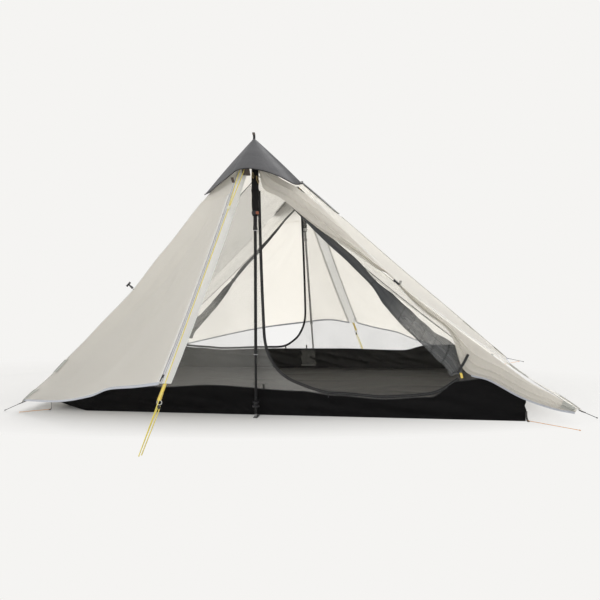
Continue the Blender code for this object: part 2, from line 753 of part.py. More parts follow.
def tub_outline(inset, height):
    """Points round the tub at an inset, at one height or else along the walls' upper edges."""
    half_length = TUB_LENGTH / 2 - inset
    half_width = TUB_WIDTH / 2 - inset
    end_height = TUB_TOP if height is None else height
    points = []
    for share in shares_between(0.0, 1.0, 2 * HIP_STEPS):
        x = -half_length + 2 * half_length * share
        high = wall_top(FRONT_WALL_LIFT, x) if height is None else height
        points.append(Vector((x, -half_width, high)))
    for share in TUB_END_SHARES:
        points.append(Vector((half_length, -half_width + 2 * half_width * share, end_height)))
    for share in shares_between(0.0, 1.0, 2 * HIP_STEPS):
        x = half_length - 2 * half_length * share
        high = wall_top(BACK_WALL_LIFT, x) if height is None else height
        points.append(Vector((x, half_width, high)))
    for share in TUB_END_SHARES:
        points.append(Vector((-half_length, half_width - 2 * half_width * share, end_height)))
    return points


def tub():
    """The floor and the four walls, one waterproof tray."""
    mesh = bmesh.new()
    add_loft(mesh, (tub_outline(0.0, 0.0), tub_outline(0.0, None), tub_outline(TUB_WALL, None),
                    tub_outline(TUB_WALL, TUB_FLOOR)))
    return finish("inner_tub", mesh, TUB_BLACK)


def inner_hip_point(sign_x, sign_y, share):
    """A point on one hip of the sleeping tent, at a share of the way from its peak to its foot."""
    peak = Vector((sign_x * MESH_CLOTH, sign_y * INNER_PEAK_Y, INNER_PEAK_HEIGHT))
    corner = Vector((sign_x * (TUB_LENGTH / 2 - TUB_WALL / 2), sign_y * INNER_PEAK_Y,
                     TUB_TOP + MESH_GAP))
    point = peak.lerp(corner, share)
    point.z -= INNER_HIP_DROP * 4 * share * (1 - share)
    return point


def inner_hip(sign_x, sign_y, count):
    """Points along one hip of the sleeping tent, from its peak to the tub's corner."""
    return [inner_hip_point(sign_x, sign_y, share) for share in shares_between(0.0, 1.0, count)]


def inner_panel(side_name, sign):
    """One sloping mesh end of the sleeping tent."""
    front = inner_hip(sign, -1, HIP_STEPS)
    back = inner_hip(sign, 1, HIP_STEPS)
    ridge = []
    foot = []
    for share in shares_between(0.0, 1.0, PANEL_STEPS + 1):
        high = front[0].lerp(back[0], share)
        high.z -= INNER_RIDGE_SAG * 4 * share * (1 - share)
        ridge.append(high)
        foot.append(front[-1].lerp(back[-1], share))
    rows = bowed(patch(ridge, foot, front, back), INNER_PANEL_BOW, (0.0, 0.0, 0.0))
    return sheet("inner_panel_" + side_name, [rows], MESH_CLOTH, MESH_GREY)


def inner_zip_points(side, count):
    """Points along one side's arched zip, which ends along the tub's upper edge, unturned."""
    knots = [(x, WALL_Y, TUB_TOP + share * (INNER_PEAK_HEIGHT - TUB_TOP))
             for x, share in INNER_ZIP_ARCH]
    for share in shares_between(*INNER_ZIP_RUN, 8):
        x = share * TUB_LENGTH / 2
        knots.append((x, WALL_Y, wall_edge(side, x) + INNER_ZIP_RISE))
    return smooth(knots, count)


def wall_edge(side, x):
    """The height of one side wall's upper edge, with X taken before any half turn."""
    return wall_top(FRONT_WALL_LIFT, x) if side > 0 else wall_top(BACK_WALL_LIFT, -x)


def offset_line(points, distance):
    """Each point of a line in a wall's plane moved square to it, to its left going down."""
    moved = []
    for place, point in enumerate(points):
        before = points[max(place - 1, 0)]
        after = points[min(place + 1, len(points) - 1)]
        moved.append(point + Vector((0.0, 1.0, 0.0)).cross((after - before).normalized()) * distance)
    return moved


def inner_wall(side_name, side):
    """The closed half of one mesh wall, from its hip to the zip."""
    hip = inner_hip(-1, -1, 40)
    for point in hip:
        point.y = WALL_Y
        point.z -= 2 * MESH_GAP
    line = offset_line(inner_zip_points(side, 80), INNER_ZIP_WIDTH / 2 + MESH_GAP)
    straight = [point for point in line if point.z > INNER_ARCH_TOP]
    arch = [point for point in line if point.z <= INNER_ARCH_TOP and point.x < INNER_WALL_END]
    right = spaced(straight, WALL_SIDE_STEPS[0]) + spaced(arch, WALL_SIDE_STEPS[1])
    left = spaced(hip[2:], len(right))
    columns = shares_between(0.0, 1.0, WALL_COLUMNS)
    top = [left[0].lerp(right[0], share) for share in columns]
    bottom = []
    for share in columns:
        x = left[-1].x + (right[-1].x - left[-1].x) * share
        bottom.append(Vector((x, WALL_Y, wall_edge(side, x) + 2 * MESH_GAP)))
    left[-1] = bottom[0]
    right[-1] = bottom[-1]
    rows = [[on_side(point, side) for point in row] for row in patch(top, bottom, left, right)]
    return sheet("inner_wall_" + side_name, [rows], MESH_CLOTH, MESH_GREY)


def inner_zip(side_name, side):
    """The zip tape of one mesh door."""
    points = inner_zip_points(side, 40)
    edges = (offset_line(points, -INNER_ZIP_WIDTH / 2), offset_line(points, INNER_ZIP_WIDTH / 2))
    rows = [[on_side(point, side) for point in row] for row in zip(*edges)]
    return sheet("inner_zip_" + side_name, [rows], INNER_ZIP_THICKNESS, WEB_BLACK)


def inner_roll(side_name, side):
    """The open mesh door, rolled up along its hip and pinched by its tie."""
    knots = []
    widths = []
    for place, (share, below, half) in enumerate(ROLL_PATH):
        on_hip = inner_hip_point(1, -1, share)
        knots.append((on_hip.x, -TUB_WIDTH / 2 - ROLL_OUT, on_hip.z - below))
        widths.append((place / (len(ROLL_PATH) - 1), half))
    path = smooth(knots, ROLL_STATIONS)
    sections = []
    for place, point in enumerate(path):
        before = path[max(place - 1, 0)]
        after = path[min(place + 1, ROLL_STATIONS - 1)]
        along = (after - before).normalized()
        across = along.cross(Vector((0.0, 1.0, 0.0)))
        half = value_at(widths, place / (ROLL_STATIONS - 1))
        depth = min(half, ROLL_HALF_DEPTH)
        ring = []
        for step in range(ROLL_SIDES):
            turn = 2 * pi * step / ROLL_SIDES
            ring.append(on_side(point + across * half * cos(turn)
                                + Vector((0.0, depth * sin(turn), 0.0)), side))
        sections.append(ring)
    mesh = bmesh.new()
    add_loft(mesh, sections)
    return finish("inner_door_" + side_name, mesh, MESH_GREY)


def pole_frame(side):
    """The frame of one pole: its Z runs up the pole from the tip."""
    foot = Vector(POLE_FOOT)
    lean = (Vector(POLE_TOP) - foot).to_track_quat("Z", "Y").to_matrix().to_4x4()
    frame = Matrix.Translation(foot) @ lean
    if side < 0:
        frame = Matrix.Rotation(pi, 4, "Z") @ frame
    return frame


def tube_profile(start, end, bore, collar):
    """The (radius, height) pairs of an open tube with a collar round its lower end."""
    outer = bore + TUBE_WALL
    return ((bore, start), (outer + COLLAR_WALL, start), (outer + COLLAR_WALL, start + collar),
            (outer, start + collar), (outer, end), (bore, end))


def pole(side_name, side):
    """One walking pole: three tubes and a grip that telescope, a clamp lever and a basket."""
    frame = pole_frame(side)
    prefix = "pole_" + side_name + "_"
    lower = ((0.0, 0.0), (TIP_RADIUS, 0.0), (FERRULE_RADIUS, FERRULE_LENGTH / 3),
             (FERRULE_RADIUS, FERRULE_LENGTH), (LOWER_RADIUS, FERRULE_LENGTH),
             (LOWER_RADIUS, LOWER_TOP), (0.0, LOWER_TOP))
    turned(prefix + "lower", lower, frame, POLE_BLACK, frame.translation)
    basket_bore = LOWER_RADIUS + TOUCH
    basket = [(basket_bore, BASKET_AT)]
    for wide, high in BASKET_SHAPE:
        basket.append((BASKET_RADIUS * wide, BASKET_AT + BASKET_HEIGHT * high))
    basket.append((basket_bore, BASKET_AT + BASKET_HEIGHT))
    turned(prefix + "basket", basket, frame, POLE_BLACK, frame.translation, ring=True)
    middle = tube_profile(MIDDLE_START, MIDDLE_TOP, LOWER_RADIUS + SLIDE_GAP, COLLAR_LENGTH)
    origin = frame @ Vector((0.0, 0.0, MIDDLE_START))
    turned(prefix + "middle", middle, frame, POLE_BLACK, origin, ring=True)
    upper = tube_profile(UPPER_START, UPPER_TOP, MIDDLE_RADIUS + SLIDE_GAP, COLLAR_LENGTH)
    origin = frame @ Vector((0.0, 0.0, UPPER_START))
    turned(prefix + "upper", upper, frame, POLE_BLACK, origin, ring=True)
    bore_end = GRIP_START + GRIP_BORE_DEPTH
    clamp_low = GRIP_START - CLAMP_HEIGHT
    clamp_outer = GRIP_BORE + CLAMP_WALL
    grip = [(0.0, bore_end), (GRIP_BORE, bore_end), (GRIP_BORE, clamp_low),
            (clamp_outer, clamp_low), (clamp_outer, GRIP_START)]
    for wide, high in GRIP_SHAPE:
        grip.append((GRIP_RADIUS * wide, GRIP_START + (GRIP_TOP - GRIP_START) * high))
    grip.append((0.0, GRIP_TOP))
    origin = frame @ Vector((0.0, 0.0, GRIP_START))
    turned(prefix + "grip", grip, frame, GRIP_BLACK, origin)
    lever(prefix + "lever", frame, clamp_outer, (clamp_low + GRIP_START) / 2)


def lever(name, frame, clamp_outer, height):
    """The clamp's cam lever, which hugs the clamp and swings about a pin beside it."""
    near = clamp_outer + TOUCH
    far = near + LEVER_WALL
    outline = []
    turns = shares_between(radians(LEVER_START), radians(LEVER_END), LEVER_STEPS)
    for step, turn in enumerate(turns):
        nose = LEVER_NOSE if step == LEVER_STEPS // 2 else 0.0
        outline.append(((far + nose) * cos(turn), (far + nose) * sin(turn)))
    for turn in turns[::-1]:
        outline.append((near * cos(turn), near * sin(turn)))
    sections = [[frame @ Vector((x, y, level)) for x, y in outline]
                for level in (height - LEVER_HEIGHT / 2, height + LEVER_HEIGHT / 2)]
    mesh = bmesh.new()
    add_loft(mesh, sections)
    pin = lever_pin(clamp_outer)
    return finish(name, mesh, POLE_BLACK, frame @ Vector((pin[0], pin[1], height)))


def lever_pin(clamp_outer):
    """Where a lever's pin stands beside the pole's axis."""
    far = clamp_outer + TOUCH + LEVER_WALL
    turn = radians(LEVER_END)
    return far * cos(turn), far * sin(turn)


def outer_cords():
    """The cords that pull the outer corners to the ground, where the photograph shows them."""
    for name, pull in CORD_PULLS.items():
        start, end = cord_run(name, corner_point(name), pull, CORD_END_HEIGHT, CORD_START)
        cord("fly_cord_" + name, (start, start.lerp(end, 0.5), end), CORNER_CORD_RADIUS, WEB_BLACK)


def cord_run(name, corner, pull, height, gap):
    """Where a corner cord starts, a gap from its corner, and where it ends near the ground."""
    sign_x = 1 if "right" in name else -1
    sign_y = 1 if "back" in name else -1
    end = Vector((corner.x + sign_x * pull[0], corner.y + sign_y * pull[1], height))
    return corner + (end - corner).normalized() * gap, end


def inner_cords():
    """The cords that pull the tub's corners out."""
    for name, pull in INNER_CORD_PULLS.items():
        sign_x = 1 if "right" in name else -1
        sign_y = 1 if "back" in name else -1
        corner = Vector((sign_x * TUB_LENGTH / 2, sign_y * TUB_WIDTH / 2, INNER_CORD_HEIGHT))
        start, end = cord_run(name, corner, pull, INNER_CORD_HEIGHT, CORD_START / 2)
        cord("inner_cord_" + name, (start, start.lerp(end, 0.5), end), CORD_RADIUS, ORANGE)


def guy_direction(side):
    """The direction of a guy line below its knot."""
    return on_side(before_peak(GUY_PASS) - below_peak(KNOT_AT), side).normalized()


def guys(side_name, side):
    """A peak guy line: a loop under the brow, and the line from its knot to the ground."""
    knot = on_side(below_peak(KNOT_AT), side)
    low = on_side(before_peak(GUY_PASS), side)
    route = [knot] + [knot.lerp(low, share) for share in GUY_SHARES]
    route += [low, on_side(before_peak(STAKE), side)]
    cord("guy_line_" + side_name, route, CORD_RADIUS, YELLOW)
    down = guy_direction(side)
    meet = knot - down * (KNOT_LENGTH / 2 + CORD_RADIUS)
    spread = Vector((side * LEG_SPREAD, 0.0, 0.0))
    left = on_side(below_peak(GUY_LEGS[0]), side)
    right = on_side(below_peak(GUY_LEGS[1]), side)
    top = (left + right) / 2 + Vector((0.0, 0.0, LOOP_RISE))
    cord("guy_loop_" + side_name, (meet - spread, left, top, right, meet + spread), CORD_RADIUS,
         YELLOW)


def guy_knot(side_name, side):
    """The knot that joins a guy line's legs and slides to tension it."""
    knot = on_side(below_peak(KNOT_AT), side)
    turn = guy_direction(side).to_track_quat("Z", "Y").to_matrix().to_4x4()
    frame = Matrix.Translation(knot) @ turn
    half = KNOT_LENGTH / 2
    bore = CORD_RADIUS + KNOT_GAP
    profile = ((bore, -half), (KNOT_RADIUS * KNOT_TAPER, -half), (KNOT_RADIUS, 0.0),
               (KNOT_RADIUS * KNOT_TAPER, half), (bore, half))
    return turned("guy_knot_" + side_name, profile, frame, STRIP_WHITE, knot, ring=True)


def foot_guy(side_name, side):
    """The doubled cord that runs from the ground up to the ring and back."""
    low = before_peak(STAKE) + Vector((0.0, STRAND_SETBACK, 0.0))
    bend = ring_centre() - Vector((0.0, 0.0, RING_RADIUS + RING_WIRE + CORD_RADIUS + 2 * TOUCH))
    shift = Vector((STRAND_SPREAD, 0.0, 0.0))
    below = bend.lerp(low, LOOP_CLOSING)
    route = (low - shift, below - shift, bend, below + shift, low + shift)
    return cord("foot_guy_" + side_name, [on_side(point, side) for point in route], CORD_RADIUS,
                YELLOW)


def ring_centre():
    """The middle of the front strip's ring."""
    along, out, down = RING_FROM_FOOT
    return before_peak(STRIP_FOOT) + Vector((along, -out, -down))


def strip_foot(side_name, side):
    """The yellow webbing below a strip's foot, with the ring sewn into its end."""
    foot = before_peak(STRIP_FOOT)
    ring_top = ring_centre() + Vector((0.0, 0.0, RING_RADIUS))
    down = (ring_top - foot).normalized()
    start = foot + down * (STRIP_CLOTH + TOUCH)
    centre = (start + ring_top) / 2
    length = (ring_top - start).length
    size = (length, FOOT_TAB_SIZE[0], FOOT_TAB_SIZE[1])
    up = Vector((0.0, -1.0, 0.0))
    tab = box("strip_foot_" + side_name, on_side(centre, side), size, YELLOW, on_side(down, side),
              on_side(up, side))
    frame = Matrix.Translation(on_side(ring_centre(), side)) @ Matrix.Rotation(radians(90), 4, "X")
    profile = []
    for step in range(8):
        turn = 2 * pi * step / 8
        profile.append((RING_RADIUS + RING_WIRE * cos(turn), RING_WIRE * sin(turn)))
    ring = turned("guide_ring_" + side_name, profile, frame, WEB_BLACK, (0.0, 0.0, 0.0), ring=True)
    return unite(tab, ring)


def toggle(hip_name):
    """The tie-back toggle on one front hip."""
    share = TOGGLE_SHARES[hip_name]
    place = hip_point(hip_name, share)
    along = hip_point(hip_name, share + 0.02) - place
    lean = along.cross(Vector((0.0, 1.0, 0.0))).normalized()
    if lean.z < 0:
        lean = -lean
    centre = place + lean * TOGGLE_REACH[hip_name] + Vector((0.0, -TOGGLE_DEPTHS[hip_name], 0.0))
    frame = Matrix.Translation(centre) @ lean.to_track_quat("Z", "Y").to_matrix().to_4x4()
    half = TOGGLE_LENGTH / 2
    profile = ((0.0, -half), (TOGGLE_RADIUS, -half), (TOGGLE_RADIUS * TOGGLE_WAIST, 0.0),
               (TOGGLE_RADIUS, half), (0.0, half))
    return turned("door_toggle_" + hip_name, profile, frame, WEB_BLACK, centre)


def vent_prop(side_name, side):
    """The stiffener that holds a cap's brow out; it swings down about its sewn end."""
    start = on_side(below_peak(PROP_AT), side)
    rise = on_side(PROP_RISE, side).normalized()
    centre = start + rise * PROP_SIZE[1] / 2
    mesh = bmesh.new()
    add_box(mesh, centre, (PROP_SIZE[1], PROP_SIZE[0], PROP_SIZE[2]), rise,
            rise.cross(Vector((1.0, 0.0, 0.0))))
    return finish("vent_prop_" + side_name, mesh, WEB_BLACK, start)


def fly_slider(side_name, side):
    """The zip slider at the foot of a strip's zip."""
    offset = ZIP_INSET - STRIP_WIDTH / 2
    place = strip_point(FLY_SLIDER_SHARE) + Vector((offset, -STRIP_CLOTH - SLIDER_SIZE[1] / 2, 0.0))
    along = strip_point(0.9 * FLY_SLIDER_SHARE) - strip_point(FLY_SLIDER_SHARE)
    mesh = bmesh.new()
    add_box(mesh, on_side(place, side), (SLIDER_SIZE[2], SLIDER_SIZE[0], SLIDER_SIZE[1]),
            on_side(along, side), (0.0, -side * 1.0, 0.0))
    return finish("fly_slider_" + side_name, mesh, WEB_BLACK, on_side(place, side))


def inner_slider_run(side):
    """The two ends of a mesh door slider's straight run, before any half turn."""
    ends = []
    for share in INNER_SLIDER_RUN:
        x = share * TUB_LENGTH / 2
        ends.append(Vector((x, WALL_Y, wall_edge(side, x) + INNER_ZIP_RISE)))
    return ends


def inner_slider(side_name, side):
    """The slider of one mesh door's zip, on the zip's straight run along the tub."""
    near, far = inner_slider_run(side)
    place = near + Vector((0.0, -INNER_ZIP_THICKNESS - SLIDER_SIZE[1] / 2, 0.0))
    mesh = bmesh.new()
    add_box(mesh, on_side(place, side), (SLIDER_SIZE[2], SLIDER_SIZE[0], SLIDER_SIZE[1]),
            on_side(far - near, side), (0.0, -side * 1.0, 0.0))
    return finish("inner_slider_" + side_name, mesh, WEB_BLACK, on_side(place, side))


def inner_strap(side_name, side):
    """The strap that hangs the sleeping tent from the outer peak."""
    centre = (STRAP_X, -TUB_WIDTH / 2 - STRAP_OUT, INNER_PEAK_HEIGHT + STRAP_GAP + STRAP_SIZE[2] / 2)
    return box("inner_strap_" + side_name, on_side(centre, side), STRAP_SIZE, TAN)


def pole_foot(side_name, side):
    """The tab at the tub's edge, whose grommet holds a pole's tip."""
    tip = Vector(POLE_FOOT)
    frame = Matrix.Translation(on_side((tip.x, tip.y, TOUCH), side))
    profile = ((GROMMET_BORE, 0.0), (GROMMET_RADIUS, 0.0), (GROMMET_RADIUS, GROMMET_HEIGHT),
               (GROMMET_BORE, GROMMET_HEIGHT))
    grommet = turned("pole_foot_" + side_name, profile, frame, WEB_BLACK, (0.0, 0.0, 0.0), ring=True)
    near = -TUB_WIDTH / 2 - TOUCH
    far = tip.y + (GROMMET_BORE + GROMMET_RADIUS) / 2
    centre = (tip.x, (near + far) / 2, TOUCH + FOOT_STRAP_SIZE[1])
    size = (FOOT_STRAP_SIZE[0], near - far, FOOT_STRAP_SIZE[1])
    return unite(grommet, box("guide_strap_" + side_name, on_side(centre, side), size, WEB_BLACK))


def pocket():
    """The light mesh pocket on the back wall."""
    y = TUB_WIDTH / 2 - TUB_WALL - TOUCH - POCKET_SIZE[1] / 2
    return box("tub_pocket", (POCKET_CENTRE[0], y, POCKET_CENTRE[1]), POCKET_SIZE, LIGHT_GREY)


def main():
    """Build every piece of the tent."""
    clear_scene()
    for name in ("left", "right"):
        fly_panel(name)
    doors()
    tied_door()
    tub()
    pocket()
    inner_panel("left", -1)
    inner_panel("right", 1)
    for name, side in (("front", 1), ("back", -1)):
        fly_cap(name, side)
        strip(name, side)
        strip_foot(name, side)
        inner_wall(name, side)
        inner_zip(name, side)
        inner_roll(name, side)
        inner_strap(name, side)
        inner_slider(name, side)
        fly_slider(name, side)
        vent_prop(name, side)
        pole(name, side)
        pole_foot(name, side)
        guys(name, side)
        guy_knot(name, side)
        foot_guy(name, side)
    toggle("front_left")
    toggle("front_right")
    outer_cords()
    inner_cords()


main()
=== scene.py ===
"""The looks of a two-peak tent pitched on two walking poles, with its mesh sleeping tent inside.

X runs along the tent, Y from its front to its back and Z up, in metres. A piece of the back is the
front's piece turned half a turn about Z, apart from the doors.
"""

from math import cos, pi, radians, sin

import bmesh
import bpy
from mathutils import Matrix, Vector, noise


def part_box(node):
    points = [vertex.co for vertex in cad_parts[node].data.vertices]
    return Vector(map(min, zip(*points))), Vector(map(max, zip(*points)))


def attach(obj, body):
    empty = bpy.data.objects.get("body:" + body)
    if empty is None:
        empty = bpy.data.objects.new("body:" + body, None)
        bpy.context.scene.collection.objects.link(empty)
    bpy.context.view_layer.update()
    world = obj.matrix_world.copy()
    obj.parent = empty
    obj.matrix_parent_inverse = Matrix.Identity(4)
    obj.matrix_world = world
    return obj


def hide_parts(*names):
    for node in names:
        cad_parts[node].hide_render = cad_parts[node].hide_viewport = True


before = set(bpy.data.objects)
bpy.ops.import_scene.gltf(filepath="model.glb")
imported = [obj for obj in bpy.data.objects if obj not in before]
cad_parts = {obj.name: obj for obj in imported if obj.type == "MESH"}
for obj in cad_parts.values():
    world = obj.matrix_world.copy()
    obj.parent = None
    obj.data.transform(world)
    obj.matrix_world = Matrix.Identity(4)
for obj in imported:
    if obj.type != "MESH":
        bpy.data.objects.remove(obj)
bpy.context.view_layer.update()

ORIGIN = Vector()
X = Vector((1.0, 0.0, 0.0))
Y = Vector((0.0, 1.0, 0.0))
Z = Vector((0.0, 0.0, 1.0))
FAR = 9.0

# Camera
CAMERA_AT = (0.626, -2.82, 0.704)
CAMERA_RIGHT = (0.98111, 0.19045, -0.03391)
CAMERA_UP = (0.02045, 0.07220, 0.99718)
CAMERA_LENS = 30.0
SENSOR = 36.0

# Studio: the backdrop's colour, the floor's, and where the floor starts and ends its blend into it
SKY_COLOUR = (0.913, 0.905, 0.888, 1.0)
SKY_LIGHT = (1.0, 0.995, 0.985, 1.0)
SKY_STRENGTH = 0.8
FLOOR_COLOUR = (0.548, 0.544, 0.536)
FADE = (0.50, 0.93)
FADE_CENTRE = (-0.35, 0.02)
FADE_STRETCH = 0.32
FADE_TILT = 0.06
# Each lamp's strength, aim and angular width in degrees
LAMPS = {"back lamp": (3.1, (-0.25, -0.7, -0.68), 78.0),
         "front lamp": (0.85, (0.6, 0.68, -0.42), 90.0)}

# Outer tent, as in the part's source
PEAK_HEIGHT = 1.268
PEAK_Y = 0.585
RIDGE_SAG = 0.018
FLY_CLOTH = 0.002
CLOTH = 0.0009
FLY_CLEARANCE = 0.004
CORNERS = {
    "front_left": (-1.31, -0.585, 0.045), "front_right": (1.375, -0.577, 0.057),
    "back_right": (1.31, 0.585, 0.065), "back_left": (-1.375, 0.577, 0.057),
}
HIP_DROPS = {
    "front_left": ((0.18, 0.002), (0.36, 0.03), (0.5, 0.055), (0.66, 0.044), (0.83, 0.03)),
    "front_right": ((0.15, 0.022), (0.32, 0.07), (0.474, 0.1), (0.617, 0.08), (0.8, 0.052)),
    "back_left": ((0.15, 0.022), (0.32, 0.03), (0.5, 0.035), (0.75, 0.02)),
    "back_right": ((0.25, 0.0), (0.5, 0.005), (0.75, 0.0)),
}
HEM_CUT_IN = 0.07
HEM_RISE = 0.03
HEM_WIDTH = 0.012
HEM_THICKNESS = 0.003
END_PANEL_BOW = 0.015
FRONT_LEFT_HEM = ((-0.98, -0.724, 0.098), (-0.75, -0.819, 0.152), (-0.62, -0.872, 0.2),
                  (-0.455, -0.94, 0.229))
BACK_LEFT_HEM = ((-0.907, 0.699, 0.159), (-0.452, 0.818, 0.242), (-0.112, 0.907, 0.276),
                 (0.1, 0.962, 0.29))
STRIP_TOP = (-0.01, -0.59, 1.27)
STRIP_FOOT = (-0.2835, -1.01, 0.26)
STRIP_BOW = 0.012
STRIP_WIDTH = 0.05
ZIP_GAP = 0.0025
STRIP_SEAMS = (-0.010, 0.021)
ZIP_OFFSETS = (-0.022, -0.0155)
DOOR_TOP_SHARE = 0.235
HIP_TOP_SHARE = 0.2
HIP_FOOT_SHARE = 0.985
HEAD_TOP_SHARE = 0.06
HEAD_OVERLAP = 0.003
DOOR_BOW = 0.015
DOOR_FOLD = 0.004

# Cap
CAP_APEX = {"front": 1.292, "back": 1.281}
CAP_CLOTH = 0.0012
CAP_LAP = 0.05
CAP_LAP_LEFT = (0.014, CAP_LAP, 0.004)
CAP_LAP_RIGHT = (-0.012, CAP_LAP, 0.0)
# The tail's run from the apex: up in front, folded down over the cap at the back
CAP_TAIL = {
    "front": ((0.0, 0.0, -0.006), (0.001, 0.0, 0.006), (0.0, 0.0, 0.016), (-0.002, 0.0, 0.025)),
    "back": ((0.0, 0.0, -0.004), (0.001, -0.004, 0.003), (0.0, -0.012, -0.005),
             (-0.002, -0.018, -0.016)),
}
CAP_BROW = (
    (-0.247, -0.59, 1.052), (-0.205, -0.625, 1.060), (-0.157, -0.657, 1.080),
    (-0.102, -0.684, 1.105), (-0.060, -0.698, 1.128), (-0.022, -0.702, 1.136),
    (0.020, -0.700, 1.133), (0.076, -0.688, 1.119), (0.130, -0.665, 1.098),
    (0.168, -0.640, 1.078), (0.190, -0.615, 1.068), (0.217, -0.59, 1.072),
)

# Open door, gathered along its hip
TIED_UPPER = (
    (0.040, 1.180), (0.08, 1.142), (0.12, 1.100), (0.20, 1.050), (0.30, 0.965), (0.40, 0.862),
    (0.50, 0.752), (0.565, 0.686), (0.62, 0.634), (0.68, 0.575), (0.76, 0.506), (0.86, 0.424),
    (0.96, 0.344), (1.06, 0.265), (1.16, 0.188), (1.26, 0.130), (1.345, 0.076),
)
TIED_LOWER = (
    (0.024, 1.135), (0.032, 1.085), (0.05, 1.050), (0.119, 1.013), (0.213, 0.930), (0.305, 0.853),
    (0.440, 0.756), (0.535, 0.684), (0.592, 0.652), (0.665, 0.562), (0.740, 0.486), (0.842, 0.396),
    (0.898, 0.236), (1.001, 0.194), (1.128, 0.122), (1.248, 0.078), (1.335, 0.060),
)
TIED_DEPTH = (0.008, 0.010, 0.012, 0.020, 0.026, 0.028, 0.022, 0.018, 0.012, 0.016, 0.022, 0.026,
              0.022, 0.018, 0.014, 0.010, 0.006)
TIED_INNER_Y = -0.602
TIED_PINCH = 0.46
TIED_PATCH = (0.962, 0.996)
TIED_PATCH_WIDE = 44

# Sleeping tent
TUB_LENGTH = 2.32
TUB_WIDTH = 1.096
TUB_FLOOR = 0.004
TUB_WALL = 0.003
TUB_TOP = 0.13
TUB_CLOTH = 0.0015
FRONT_WALL_LIFT = (
    (-1.16, 0.0), (-0.86, 0.006), (-0.52, 0.0), (-0.28, 0.012), (0.16, -0.011), (0.34, -0.03),
    (0.55, -0.043), (0.76, -0.03), (0.88, 0.045), (1.01, 0.06), (1.16, -0.02),
)
BACK_WALL_LIFT = (
    (-1.16, 0.0), (-0.96, 0.03), (-0.8, 0.014), (-0.6, 0.0), (-0.3, 0.007), (0.23, 0.006),
    (0.65, -0.006), (0.81, 0.026), (0.98, 0.03), (1.16, 0.0),
)
LIFT_START = -0.96
LIFT_HEIGHT = 0.06
LIFT_DEPTH = 0.4
INNER_PEAK_HEIGHT = 1.13
INNER_PEAK_Y = 0.543
INNER_RIDGE_SAG = 0.03
INNER_HIP_DROP = 0.03
INNER_PANEL_BOW = 0.02
MESH_GAP = 0.002
MESH_CLOTH = 0.0006
WALL_Y = -(TUB_WIDTH / 2 - TUB_WALL / 2)
WALL_MESH_END = 0.262
ZIP_BEND_HEIGHT = 0.36
INNER_ZIP_ARCH = (
    (0.003, 1.06), (0.0, 0.8), (0.0, 0.5), (0.006, 0.34), (0.044, 0.243), (0.098, 0.188),
    (0.166, 0.154),
)
INNER_ZIP_WIDTH = 0.014
INNER_ZIP_RUN = (0.28, 0.883)
INNER_ZIP_RISE = 0.012
ZIP_TABS = {"front": ((-0.010, 0.139),), "back": ((-0.149, 0.146), (-0.001, 0.150))}
# The rolled door's path in X and Z, with its half width
ROLL_PATH = (
    (0.060, 1.092, 0.005), (0.115, 1.040, 0.009), (0.190, 0.958, 0.012), (0.275, 0.870, 0.014),
    (0.346, 0.800, 0.015), (0.432, 0.720, 0.017), (0.510, 0.632, 0.0135), (0.590, 0.541, 0.029),
    (0.668, 0.452, 0.034), (0.748, 0.372, 0.036), (0.836, 0.292, 0.046), (0.870, 0.214, 0.026),
)
ROLL_TIE_SHARE = 0.545
BACK_ROLL_WIDTH = 0.68
ROLL_Y = -0.577
ROLL_HALF_DEPTH = 0.015
ROLL_STRAP = ((0.912, -0.634, 0.310), (0.892, -0.637, 0.272), (0.868, -0.634, 0.232))
ROLL_TAG = ((0.880, -0.632, 0.230), (0.884, -0.633, 0.220), (0.886, -0.632, 0.207))

# Cords, as in the part's source
CORD_RADIUS = 0.0012
GUY_RADIUS = 0.0021
CORNER_CORD_RADIUS = 0.0015
STAKE = (-0.354, -1.116, 0.006)
KNOT_AT = (-0.079, -0.75, 0.964)
KNOT_LENGTH = 0.018
KNOT_TURNS = 4
KNOT_PITCH = 0.0038
KNOT_COIL = 0.0054
KNOT_WIRE = 0.0021
KNOT_SIZE = 0.0034
GUY_LEGS = ((-0.048, -0.672, 1.133), (-0.028, -0.672, 1.133))
GUY_PASS = (-0.279, -1.023, 0.262)
RING_AT = (-0.3025, -1.031, 0.190)
RING_RADIUS = 0.010
RING_WIRE = 0.002
STRAND_SPREAD = 0.005
STRAND_SETBACK = 0.012
LEG_SPREAD = 0.002
LOOP_RISE = 0.008
LOOP_CLOSING = 0.12
CORD_START = 0.012
TOUCH = 0.0003
CORD_STEP = 0.012
BINDING_RADIUS = 0.0022
STITCH = {"Spacing": 0.008, "Rod length": 0.0048, "Rod radius": 0.00045, "Unevenness": 0.12}
FLY_CORD_ENDS = {
    "front_left": (-1.405, -0.592, 0.006), "front_right": (1.462, -0.49, 0.006),
    "back_right": (1.455, 0.775, 0.006),
}
INNER_CORD_ENDS = {
    "front_left": (-1.297, -0.615, 0.005), "front_right": (1.337, -0.663, 0.005),
    "back_right": (1.43, 0.79, 0.005),
}

# Poles, as in the part's source
POLE_FOOT = (-0.043, -0.59, 0.001)
POLE_TOP = (0.004, -0.59, 1.251)
COLLAR_FOOTS = (("middle", 0.302, 0.0088), ("upper", 0.876, 0.0100))
COLLAR_RIBS = (0.004, 0.008, 0.012)
TIP_END = 0.017
TIP_RADII = (0.0032, 0.0058)
CLAMP_OUTER = 0.013
CLAMP_LOW = 0.941
CLAMP_TOP = 0.968
LEVER_TURNS = (95.0, 204.0)
FORK_TURNS = (200.0, 252.0)
NUT_TURNS = (207.0, 262.0)
CLAMP_TURNS = (266.0, 450.0)
GRIP_RINGS = (1.0, 1.013, 1.026, 1.06, 1.073)
GRIP_RING_RADIUS = 0.0158

